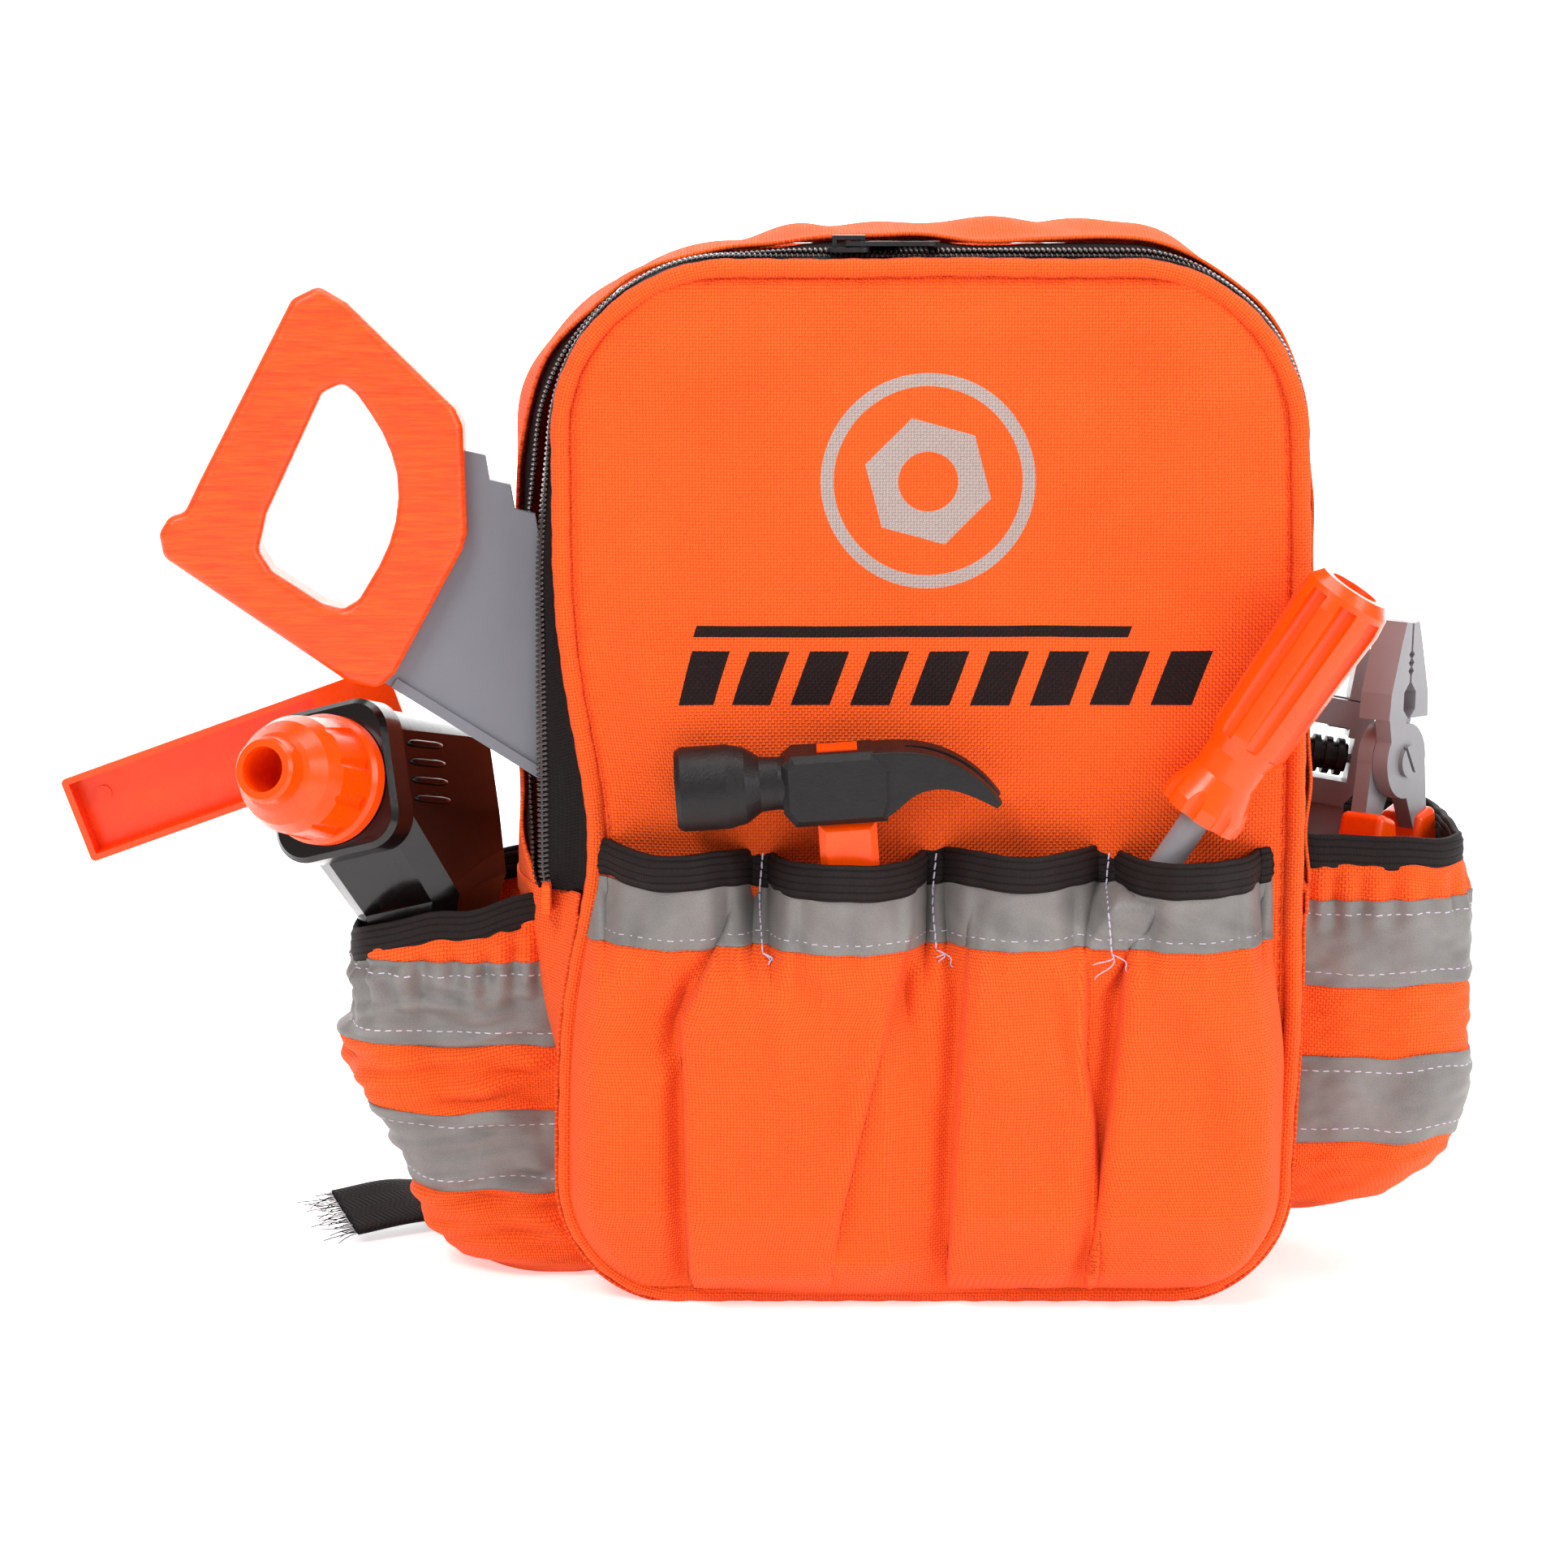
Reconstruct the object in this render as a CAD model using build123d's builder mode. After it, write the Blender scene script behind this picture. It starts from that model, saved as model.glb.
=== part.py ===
from build123d import *
from math import cos, radians, sin
import os

os.makedirs("parts", exist_ok=True)

# ---------------------------------------------------------------- bag sizes
half_w = 101.0          # side seam, to the piping's centre line
seam_low = 2.5          # bottom seam
seam_high = 291.5       # top seam
top_r = 46.0
bottom_r = 32.0
piping_r = 2.4
panel_y = 47.0          # front and back seams lie at -47 and +47
cloth = 1.8
skin = 2.5              # gusset's outer face stands this far outside the seam
skin_in = skin - cloth
zip_low = 118.0         # the zip's two lower ends
zip_y = -38.0
tape_w = 6.0
coil_gap = 0.6          # half the gap between the two coils
slider_x = -22.0

# open left side of the zip: (y, z) of the rear tape's front edge
gape = [(-37.4, zip_low), (-27, 140), (-18, 180), (-18, 215), (-27, 248), (-37.4, 270)]
gape_top = 270.0


def outline(grow):
    """Front outline of the bag, grown outwards."""
    with BuildSketch() as face:
        with Locations((0, (seam_low + seam_high) / 2)):
            Rectangle(2 * (half_w + grow), seam_high - seam_low + 2 * grow)
        fillet(face.vertices().group_by(Axis.Y)[-1], top_r + grow)
        fillet(face.vertices().group_by(Axis.Y)[0], bottom_r + grow)
    return face.sketch


def band(outer, inner, y0, y1):
    """Ring round the bag between two outlines, from y0 back to y1."""
    with BuildPart() as ring:
        with BuildSketch(Plane.XZ.offset(-y1)):
            add(outline(outer))
            add(outline(inner), mode=Mode.SUBTRACT)
        extrude(amount=y1 - y0)
    return ring.part


def block(x0, x1, y0, y1, z0, z1):
    with BuildPart() as piece:
        with Locations(((x0 + x1) / 2, (y0 + y1) / 2, (z0 + z1) / 2)):
            Box(x1 - x0, y1 - y0, z1 - z0)
    return piece.part


def side_strip(near, far):
    """Strip that follows the open zip on the left, seen along X."""
    front = [(y + near, z) for y, z in gape]
    back = [(y + far, z) for y, z in reversed(gape)]
    with BuildPart() as strip:
        with BuildSketch(Plane.YZ.offset(-120)):
            with BuildLine():
                Polyline(*front, *back, close=True)
            make_face()
        extrude(amount=60)
    return strip.part


# ---------------------------------------------------------------- bag body
with BuildPart() as front_panel:
    with BuildSketch(Plane.XZ.offset(panel_y - cloth / 2)):
        add(outline(-piping_r))
    extrude(amount=cloth)

with BuildPart() as back_panel:
    with BuildSketch(Plane.XZ.offset(-panel_y - 2)):
        add(outline(-piping_r))
    extrude(amount=4)

with BuildPart() as front_piping:
    with BuildSketch(Plane.XZ.offset(panel_y)) as front_seam:
        add(outline(0))
    extrude(amount=0.1, mode=Mode.PRIVATE)
    with BuildLine() as front_path:
        add(front_seam.sketch.faces()[0].outer_wire())
    with BuildSketch(Plane(front_path.line @ 0, z_dir=front_path.line % 0)):
        Circle(piping_r)
    sweep(path=front_path.line)

with BuildPart() as back_piping:
    add(front_piping.part.moved(Location((0, 2 * panel_y, 0))))

gusset_front = -panel_y + piping_r
gusset_back = panel_y - piping_r

with BuildPart() as lower_gusset:
    add(band(skin, skin_in, gusset_front, gusset_back))
    add(block(-120, 120, -60, 60, zip_low, 320), mode=Mode.SUBTRACT)

with BuildPart() as upper_gusset:
    add(band(skin, skin_in, zip_y + coil_gap + tape_w, gusset_back))
    add(block(-120, 120, -60, 60, -20, zip_low), mode=Mode.SUBTRACT)
    add(side_strip(-25, tape_w), mode=Mode.SUBTRACT)

tape_out = skin - 0.5
tape_in = tape_out - 0.8
left_open = block(-120, -60, -60, 60, zip_low, gape_top)

with BuildPart() as zip_tape_front:
    add(band(tape_out, tape_in, gusset_front, zip_y - coil_gap))
    add(block(-120, 120, -60, 60, -20, zip_low), mode=Mode.SUBTRACT)

with BuildPart() as zip_tape_left:
    add(band(tape_out, tape_in, gusset_front, gusset_back))
    add(side_strip(0, tape_w), mode=Mode.INTERSECT)

with BuildPart() as zip_tape_back:
    add(band(tape_out, tape_in, zip_y + coil_gap, zip_y + coil_gap + tape_w))
    add(block(-120, 120, -60, 60, -20, zip_low), mode=Mode.SUBTRACT)
    add(left_open, mode=Mode.SUBTRACT)
    add(zip_tape_left.part)

coil_out = tape_out + 1.6
coil_w = 2.2

with BuildPart() as zip_coil_front:
    add(band(coil_out, tape_out, zip_y - coil_gap - coil_w, zip_y - coil_gap))
    add(block(-120, 120, -60, 60, -20, zip_low), mode=Mode.SUBTRACT)

with BuildPart() as zip_coil_left:
    add(band(coil_out, tape_out, gusset_front, gusset_back))
    add(side_strip(0, coil_w), mode=Mode.INTERSECT)

with BuildPart() as zip_coil_back:
    add(band(coil_out, tape_out, zip_y + coil_gap, zip_y + coil_gap + coil_w))
    add(block(-120, 120, -60, 60, -20, zip_low), mode=Mode.SUBTRACT)
    add(left_open, mode=Mode.SUBTRACT)
    add(zip_coil_left.part)

# small cloth tabs that cover the two lower ends of the zip
with BuildPart() as zip_end_tabs:
    for side in (-1, 1):
        with Locations((side * (half_w + skin + 0.6), zip_y + 0.5, zip_low - 4)):
            Box(1.2, 12, 8)

# ---------------------------------------------------------------- zip slider
slider_z = seam_high + coil_out + 0.4
plate_t = 1.2
bail_z = slider_z + plate_t + 2.1

with BuildPart() as zip_slider:
    with BuildSketch(Plane.XY.offset(slider_z)):
        with Locations((slider_x, zip_y)):
            RectangleRounded(12, 9, 3)
    extrude(amount=plate_t)
    with BuildSketch(Plane.XY.offset(seam_high + tape_in - 0.3 - plate_t)):
        with Locations((slider_x, zip_y)):
            RectangleRounded(12, 9, 3)
    extrude(amount=plate_t)
    with Locations((slider_x - 3, zip_y, (seam_high + tape_in + slider_z) / 2)):
        Box(4, 0.6, slider_z - seam_high - tape_in + 2)
    for end in (-1, 1):
        with Locations((slider_x + end * 3.9, zip_y, slider_z + 2.2)):
            Box(1.2, 2.2, 3.4)
    with Locations((slider_x, zip_y, bail_z + 0.6)):
        Box(9, 2.2, 1.2)

pull_z = bail_z - 1.0

with BuildPart() as zip_pull:
    with BuildSketch(Plane.XY.offset(pull_z - 0.6)):
        with Locations((slider_x + 13, zip_y)):
            SlotOverall(24, 8.8)
        with Locations((slider_x + 4, zip_y)):
            Rectangle(9.6, 8.8)
        with Locations((slider_x + 2.4, zip_y)):
            Rectangle(6.2, 5.2, mode=Mode.SUBTRACT)
        with Locations((slider_x + 17.5, zip_y)):
            SlotOverall(8, 3, mode=Mode.SUBTRACT)
    extrude(amount=1.2)
    with BuildSketch(Plane.XZ.offset(-zip_y)):
        with Locations((slider_x, pull_z)):
            Circle(0.6)
    extrude(amount=3.6, both=True)

# ---------------------------------------------------------------- front pocket
pocket_x = [-92.0, -46.0, 2.0, 48.0, 95.0]      # ends and the three dividers
pocket_face = -panel_y - cloth / 2              # the panel's front face
pocket_bulge = -74.0
pocket_foot = -66.0
pocket_low = 8.0
seam_end = 118.0
mouth_z = 131.0
pouch = 1.5


def compartments(grow, z0, z1):
    """The four bulges between the dividers."""
    with BuildPart() as bulges:
        with BuildSketch(Plane.XY.offset(z0)):
            for left, right in zip(pocket_x, pocket_x[1:]):
                x0 = left - 0.8 - grow
                x1 = right + 0.8 + grow
                y1 = pocket_bulge - grow
                with BuildLine():
                    Polyline((x0, pocket_face), (x0 + 5, y1), (x1 - 5, y1), (x1, pocket_face), close=True)
                make_face()
        extrude(amount=z1 - z0)
    return bulges.part


def wedge(grow, z0, z1):
    """The one long pouch below the dividers."""
    lean = (pocket_foot - pocket_bulge) / (seam_end - pocket_low)
    with BuildPart() as long_pouch:
        with BuildSketch(Plane.YZ.offset(pocket_x[0] - 5)):
            with BuildLine():
                Polyline(
                    (pocket_face, z0),
                    (pocket_foot - grow - lean * (z0 - pocket_low), z0),
                    (pocket_foot - grow - lean * (z1 - pocket_low), z1),
                    (pocket_face, z1),
                    close=True,
                )
            make_face()
        extrude(amount=pocket_x[-1] - pocket_x[0] + 10)
        with BuildSketch(Plane.XY.offset(z0)):
            with BuildLine():
                Polyline(
                    (pocket_x[0] - grow, pocket_face),
                    (pocket_x[0] + 6 - grow, pocket_bulge - grow),
                    (pocket_x[-1] - 6 + grow, pocket_bulge - grow),
                    (pocket_x[-1] + grow, pocket_face),
                    close=True,
                )
            make_face()
        extrude(amount=z1 - z0, mode=Mode.INTERSECT)
        with BuildSketch(Plane.XZ.offset(-pocket_face - 1)):
            add(outline(grow - piping_r - 0.4))
        extrude(amount=50, mode=Mode.INTERSECT)
    return long_pouch.part


with BuildPart() as front_pocket:
    add(wedge(0, pocket_low, seam_end))
    add(wedge(-pouch, pocket_low + pouch, seam_end - pouch), mode=Mode.SUBTRACT)
    add(compartments(0, seam_end, mouth_z))
    add(compartments(-pouch, seam_end - pouch, mouth_z), mode=Mode.SUBTRACT)

with BuildPart() as front_pocket_binding:
    add(compartments(0.8, mouth_z - 9, mouth_z + 1))
    add(compartments(0, mouth_z - 9, mouth_z), mode=Mode.SUBTRACT)
    add(compartments(-pouch, mouth_z, mouth_z + 1), mode=Mode.SUBTRACT)

with BuildPart() as front_pocket_tape:
    add(wedge(0.6, 100, seam_end))
    add(wedge(0, 100, seam_end), mode=Mode.SUBTRACT)

# ---------------------------------------------------------------- side pockets
gusset_x = half_w + skin


def side_pouch(side, levels, grow):
    """Bag of cloth on one side wall; levels hold z, reach, front y and back y."""
    with BuildPart() as bag_of_cloth:
        for level, reach, y0, y1 in levels:
            with BuildSketch(Plane.XY.offset(level)):
                with Locations((side * gusset_x, (y0 + y1) / 2)):
                    RectangleRounded(2 * (reach + grow), y1 - y0 + 2 * grow, 10 + grow)
        loft(ruled=True)
    return bag_of_cloth.part


left_levels = [(3, 24, -24, 42), (30, 48, -28, 52), (64, 61, -29, 52), (122, 63, -29, 52)]
right_levels = [(18, 30, -24, 34), (40, 47, -28, 42), (136, 52, -29, 44)]
left_inside = [(3 + pouch, 24, -24, 42)] + left_levels[1:]
right_inside = [(18 + pouch, 30, -24, 34)] + right_levels[1:]
left_mouth = Plane(origin=(-gusset_x, 0, 117), x_dir=(0, 1, 0), z_dir=(sin(radians(-13)), 0, cos(radians(13))))
right_mouth = Plane(origin=(gusset_x, 0, 132), x_dir=(0, 1, 0), z_dir=(sin(radians(2)), 0, cos(radians(2))))
left_wall = Plane(origin=(-gusset_x, 0, 0), z_dir=(-1, 0, 0))
right_wall = Plane(origin=(gusset_x, 0, 0), z_dir=(1, 0, 0))


def below(mouth, drop):
    return mouth.offset(-drop)


with BuildPart() as left_pocket:
    add(side_pouch(-1, left_levels, 0))
    add(side_pouch(-1, left_inside, -pouch), mode=Mode.SUBTRACT)
    split(bisect_by=left_wall, keep=Keep.TOP)
    split(bisect_by=below(left_mouth, 1), keep=Keep.BOTTOM)

with BuildPart() as left_pocket_binding:
    add(side_pouch(-1, left_levels, 0.8))
    split(bisect_by=left_wall, keep=Keep.TOP)
    split(bisect_by=left_mouth, keep=Keep.BOTTOM)
    split(bisect_by=below(left_mouth, 10), keep=Keep.TOP)
    add(side_pouch(-1, left_inside, -pouch), mode=Mode.SUBTRACT)
    add(left_pocket.part, mode=Mode.SUBTRACT)

with BuildPart() as left_pocket_tapes:
    add(side_pouch(-1, left_levels, 0.6))
    split(bisect_by=left_wall, keep=Keep.TOP)
    add(block(-200, -90, -80, 80, 90, 200), mode=Mode.SUBTRACT)
    add(block(-200, -90, -80, 80, 45, 65), mode=Mode.SUBTRACT)
    add(block(-200, -90, -80, 80, 0, 20), mode=Mode.SUBTRACT)
    add(side_pouch(-1, left_levels, 0), mode=Mode.SUBTRACT)

with BuildPart() as right_pocket:
    add(side_pouch(1, right_levels, 0))
    add(side_pouch(1, right_inside, -pouch), mode=Mode.SUBTRACT)
    split(bisect_by=right_wall, keep=Keep.TOP)
    split(bisect_by=below(right_mouth, 1), keep=Keep.BOTTOM)

with BuildPart() as right_pocket_binding:
    add(side_pouch(1, right_levels, 0.8))
    split(bisect_by=right_wall, keep=Keep.TOP)
    split(bisect_by=right_mouth, keep=Keep.BOTTOM)
    split(bisect_by=below(right_mouth, 10), keep=Keep.TOP)
    add(side_pouch(1, right_inside, -pouch), mode=Mode.SUBTRACT)
    add(right_pocket.part, mode=Mode.SUBTRACT)

with BuildPart() as right_pocket_tapes:
    add(side_pouch(1, right_levels, 0.6))
    split(bisect_by=right_wall, keep=Keep.TOP)
    add(block(90, 200, -80, 80, 108, 200), mode=Mode.SUBTRACT)
    add(block(90, 200, -80, 80, 62, 83), mode=Mode.SUBTRACT)
    add(block(90, 200, -80, 80, 0, 37), mode=Mode.SUBTRACT)
    add(side_pouch(1, right_levels, 0), mode=Mode.SUBTRACT)

# ---------------------------------------------------------------- handle and straps
back_face = panel_y + 2.0
strap_x = 50.0
strap_w = 42.0
webbing = 22.0
web_t = 1.6


def side_profile(points, x0, width):
    """Shape drawn in Y and Z, given a width along X."""
    with BuildPart() as piece:
        with BuildSketch(Plane.YZ.offset(x0)):
            with BuildLine():
                Polyline(*points, close=True)
            make_face()
        extrude(amount=width)
    return piece.part


with BuildPart() as grab_handle:
    with BuildSketch(Plane.XY.offset(262)):
        with BuildLine():
            outer_bow = ThreePointArc((-25, back_face), (0, back_face + 15), (25, back_face))
            inner_bow = ThreePointArc((22, back_face), (0, back_face + 13), (-22, back_face))
            Line(outer_bow @ 1, inner_bow @ 0)
            Line(inner_bow @ 1, outer_bow @ 0)
        make_face()
    extrude(amount=webbing)

strap_side = [
    (back_face, 288), (62, 270), (68, 200), (65, 124),
    (57, 124), (60, 200), (55, 264), (back_face, 276),
]
web_side = [(59.2, 118), (60.8, 118), (back_face + web_t, 14), (back_face, 14)]

with BuildPart() as left_shoulder_strap:
    add(side_profile(strap_side, -strap_x - strap_w / 2, strap_w))

with BuildPart() as right_shoulder_strap:
    add(side_profile(strap_side, strap_x - strap_w / 2, strap_w))

with BuildPart() as left_lower_webbing:
    add(side_profile(web_side, -strap_x - webbing / 2, webbing))

with BuildPart() as right_lower_webbing:
    add(side_profile(web_side, strap_x - webbing / 2, webbing))

with BuildPart() as strap_adjusters:
    for side in (-1, 1):
        with BuildSketch(Plane.XZ.offset(-64.6)):
            with Locations((side * strap_x, 114)):
                RectangleRounded(32, 19, 3)
            for row in (108.5, 118.0):
                with Locations((side * strap_x, row)):
                    Rectangle(24, 3.4, mode=Mode.SUBTRACT)
        extrude(amount=3.0)

with BuildPart() as left_webbing_tail:
    add(block(-strap_x - webbing / 2, -strap_x + webbing / 2, 65.0, 65.0 + web_t, 0, 112))
    with BuildSketch(Plane.XY):
        with BuildLine():
            Polyline((-46, 60), (-52, 82), (-112, 62), (-176, 28), (-166, 8), (-105, 42), close=True)
        make_face()
    extrude(amount=web_t)

with BuildPart() as right_webbing_tail:
    add(block(strap_x - webbing / 2, strap_x + webbing / 2, 65.0, 65.0 + web_t, 40, 112))

# ---------------------------------------------------------------- saw
saw_lean = radians(32.3)
saw = Plane(origin=(-148.6, -33, 173.8), x_dir=(cos(saw_lean), 0, -sin(saw_lean)), z_dir=(0, -1, 0))
saw_handle_t = 16.0
saw_blade_t = 3.0
tooth_step = (10.2, -3.3)

handle_points = [
    (-80.3, 78), (-76, 85), (-67, 85.3), (-27, 76.5), (-22.5, 73.5), (-5.8, 48.5), (-4.5, 44),
    (-2.2, 4.5), (-4, -1.5), (-12, -4.5), (-73.4, -2), (-78, 3), (-78, 8.5), (-75, 12), (-76, 22),
]
hole_points = [
    (-59.8, 60.5), (-56.4, 65.8), (-51.6, 65.2), (-46, 62.8), (-40.4, 60), (-35.2, 56.4), (-30.8, 52.2),
    (-27.2, 47), (-24.4, 41), (-22.6, 34.6), (-21.8, 28), (-21.6, 17), (-23.9, 12.3), (-29.5, 10.6), (-46.1, 10.9), (-52.1, 13.8), (-55.5, 23.8),
]
blade_points = [(-14, 58), (-24, 58), (-24, 65.4)]
for tooth in range(14):
    tip_x = -13 + tooth * tooth_step[0]
    tip_y = 69.3 + tooth * tooth_step[1]
    blade_points.append((tip_x, tip_y))
    blade_points.append((tip_x + 4.6, tip_y - 5.2))
blade_points = blade_points + [(130, 20), (133, 6), (128, 0), (-14, 0)]

with BuildPart() as saw_blade:
    with BuildSketch(saw):
        with BuildLine():
            Polyline(*blade_points, close=True)
        make_face()
        fillet(vertices().filter_by_position(Axis.X, -116, -20), 0.9)
    extrude(amount=saw_blade_t / 2, both=True)
    with BuildSketch(saw):
        with Locations((62, 1.5)):
            Rectangle(126, 3)
    extrude(amount=2.5, both=True)

with BuildPart() as saw_handle:
    with BuildSketch(saw):
        with BuildLine():
            Polyline(*handle_points, close=True)
        make_face()
        with BuildLine():
            Polyline(*hole_points, close=True)
        make_face(mode=Mode.SUBTRACT)
        offset(amount=-4, kind=Kind.INTERSECTION)
        offset(amount=7, kind=Kind.ARC)
        offset(amount=-3, kind=Kind.ARC)
    extrude(amount=saw_handle_t / 2, both=True)
    rim = saw_handle.faces().filter_by(Axis.Y)
    fillet(rim.edges(), 2.6)
    add(saw_blade.part, mode=Mode.SUBTRACT)

# ---------------------------------------------------------------- try square
square_rise = radians(19.8)
square = Plane(origin=(-256.7, 47.5, 134.3), x_dir=(cos(square_rise), 0, sin(square_rise)), z_dir=(0, -1, 0))
stock_l = 104.0
stock_w = 26.5
stock_t = 11.0

with BuildPart() as square_blade:
    with BuildSketch(square):
        with Locations((93, -81)):
            Rectangle(20, 122)
    extrude(amount=1.2, both=True)

with BuildPart() as square_stock:
    with BuildSketch(square):
        with Locations((stock_l / 2, -stock_w / 2)):
            Rectangle(stock_l, stock_w)
    extrude(amount=stock_t / 2, both=True)
    fillet(square_stock.edges().filter_by(Axis.Y), 1.5)
    with BuildSketch(square.offset(stock_t / 2)):
        with Locations((41, -stock_w / 2)):
            Rectangle(78, stock_w - 4)
    extrude(amount=-9, mode=Mode.SUBTRACT)
    with BuildSketch(square.offset(stock_t / 2 - 9)):
        with Locations((9, -9)):
            Circle(2.5)
    extrude(amount=0.6)
    add(square_blade.part, mode=Mode.SUBTRACT)

# ---------------------------------------------------------------- screwdriver
driver_axis = Vector(0.534, -0.09, 0.841).normalized()
driver_collar = Vector(74.2, -62, 143.1)
driver = Plane(origin=driver_collar, x_dir=driver_axis, z_dir=(0, -1, 0))
driver_round = Plane(origin=driver_collar, z_dir=driver_axis)
driver_l = 76.0
shaft_r = 4.2

with BuildPart() as screwdriver_handle:
    with BuildSketch(driver):
        with BuildLine():
            Polyline(
                (0, 0), (0, 12), (4, 12.2), (13, 9.2), (20, 9.2), (26, 11), (68, 11.2),
                (73, 10.2), (76, 7), (76, 0), close=True,
            )
        make_face()
    revolve(axis=Axis(driver_collar, driver_axis))
    with BuildSketch(driver_round.offset(24)):
        with PolarLocations(12.6, 8):
            Circle(2.7)
    extrude(amount=47, mode=Mode.SUBTRACT)
    with BuildSketch(driver_round.offset(-1)):
        with PolarLocations(13.6, 8, start_angle=22.5):
            Circle(2.8)
    extrude(amount=12, mode=Mode.SUBTRACT)
    with BuildSketch(driver_round.offset(-1)):
        Circle(shaft_r)
    extrude(amount=27, mode=Mode.SUBTRACT)

with BuildPart() as screwdriver_shaft:
    with BuildSketch(driver_round.offset(-78)):
        Circle(shaft_r)
    extrude(amount=104)
    with BuildSketch(driver_round.offset(-88)):
        Rectangle(7.6, 1.4)
    extrude(amount=10)

# ---------------------------------------------------------------- hammer
hammer_tilt = radians(4.5)
hammer_rise = radians(4.0)
hammer = Plane(
    origin=(-69.1, -66, 150.7),
    x_dir=(cos(hammer_rise), 0, sin(hammer_rise)),
    z_dir=(0, -cos(hammer_tilt), -sin(hammer_tilt)),
)
head_axis = Axis(hammer.origin, hammer.x_dir)

with BuildPart() as hammer_handle:
    with BuildSketch(hammer):
        with BuildLine():
            Polyline(
                (38, -11.2), (38, -60), (37, -90), (37, -134), (39, -138), (53, -138), (55, -134),
                (55, -90), (54, -60), (54, -11.2), close=True,
            )
        make_face()
    extrude(amount=6.4, both=True)
    chamfer(hammer_handle.edges().filter_by(lambda e: abs(e.tangent_at(0.5).dot(hammer.z_dir)) < 0.1), 2)
    with BuildSketch(hammer):
        with Locations((44.5, -2.6)):
            Rectangle(11, 23.8)
    extrude(amount=4, both=True)

with BuildPart() as hammer_head:
    with BuildSketch(hammer):
        with BuildLine():
            Polyline(
                (0, 0), (0, 10.6), (1.5, 11.6), (14, 11.6), (19, 10.4), (23, 7.6), (28, 7.2), (32, 8),
                (32, 0), close=True,
            )
        make_face()
    revolve(axis=head_axis)
    with BuildSketch(hammer):
        with BuildLine():
            Spline((50, 8.4), (60, 8.3), (69, 7), (77, 3.4), (84, -2.4), (88.4, -8.2))
            Line((88.4, -8.2), (87, -9.5))
            Spline((87, -9.5), (78, -4.6), (71, -3), (64.5, -4.6), (60, -8), (55, -10.6))
            Line((55, -10.6), (50, 8.4))
        make_face()
    extrude(amount=7.6, both=True)
    rims = hammer_head.faces().filter_by(lambda f: abs(f.normal_at().dot(hammer.z_dir)) > 0.99)
    fillet(rims.edges(), 0.6)
    with BuildPart() as cheek:
        with BuildSketch(hammer):
            Polygon((29, -7), (32, -11), (57, -11), (59, -5), (59, 4), (54, 8.8), (32, 8.8), (29, 6.5), align=None)
        extrude(amount=8.6, both=True)
        sides = cheek.faces().filter_by(lambda f: abs(f.normal_at().dot(hammer.z_dir)) > 0.99)
        chamfer(sides.edges(), 1.8)
    with BuildSketch(Plane(hammer.origin, x_dir=hammer.x_dir, z_dir=hammer.y_dir).offset(-20)):
        with BuildLine():
            Polyline((63, -0.6), (92, -3.2), (92, 3.2), (63, 0.6), close=True)
        make_face()
    extrude(amount=40, mode=Mode.SUBTRACT)
    add(hammer_handle.part, mode=Mode.SUBTRACT)

# ---------------------------------------------------------------- pliers
pliers_turn = radians(52)
pliers_lean = radians(5)
pliers_face = Vector(sin(pliers_turn), -cos(pliers_turn), 0)
pliers_up = Vector(sin(pliers_lean), 0, cos(pliers_lean))
pliers_across = pliers_up.cross(pliers_face).normalized()
pliers = Plane(origin=(136.8, 6, 147), x_dir=pliers_across, z_dir=pliers_face)
pivot_r = 11.0
plier_t = 5.0


def plier_half(hand):
    """One half: jaw on one side, tang crossing to the other; hand is -1 or 1."""
    low = 0.1 if hand < 0 else -plier_t
    high = plier_t if hand < 0 else -0.1
    with BuildPart() as half:
        with BuildSketch(pliers.offset(low)):
            Circle(pivot_r)
            with BuildLine():
                Polyline(
                    (hand * 9, 5), (hand * 11, 13), (hand * 1.2, 13), (hand * 1.2, 9), close=True,
                )
            make_face()
            with BuildLine():
                Polyline(
                    (-hand * 10.4, 3), (-hand * 14.5, -24), (-hand * 14, -60), (-hand * 9, -60),
                    (-hand * 8, -24), (0, -9), close=True,
                )
            make_face()
            Circle(2.6, mode=Mode.SUBTRACT)
        extrude(amount=high - low)
        with BuildSketch(pliers.offset(-plier_t)):
            with BuildLine():
                Polyline(
                    (hand * 0.5, 12.4), (hand * 3.4, 15), (hand * 3.4, 20), (hand * 0.5, 23),
                    (hand * 0.5, 25), (hand * 1.6, 26.2), (hand * 0.5, 27.4), (hand * 1.6, 28.6),
                    (hand * 0.5, 29.8), (hand * 1.6, 31), (hand * 0.5, 32.2), (hand * 0.5, 40),
                    (hand * 3.6, 40.5), (hand * 6, 34), (hand * 10.5, 20), (hand * 11.2, 12.4),
                    close=True,
                )
            make_face()
        extrude(amount=2 * plier_t)
    return half.part


def plier_grip(hand, tang):
    """Plastic sleeve on one tang."""
    with BuildPart() as grip:
        with BuildSketch(pliers):
            with BuildLine():
                Line((-hand * 7, -16.5), (-hand * 15.5, -14))
                Spline((-hand * 15.5, -14), (-hand * 18, -26), (-hand * 16.5, -60), (-hand * 18, -104))
                Line((-hand * 18, -104), (-hand * 9, -106))
                Spline((-hand * 9, -106), (-hand * 6, -60), (-hand * 5, -28), (-hand * 7, -16.5))
            make_face()
            fillet(vertices(), 2.2)
        extrude(amount=plier_t + 2, both=True)
        fillet(grip.faces().filter_by(lambda f: abs(f.normal_at().dot(pliers_face)) > 0.9).edges(), 2)
        add(tang, mode=Mode.SUBTRACT)
    return grip.part


with BuildPart() as pliers_front_half:
    add(plier_half(-1))

with BuildPart() as pliers_back_half:
    add(plier_half(1))

with BuildPart() as pliers_front_grip:
    add(plier_grip(-1, pliers_front_half.part))

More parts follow.
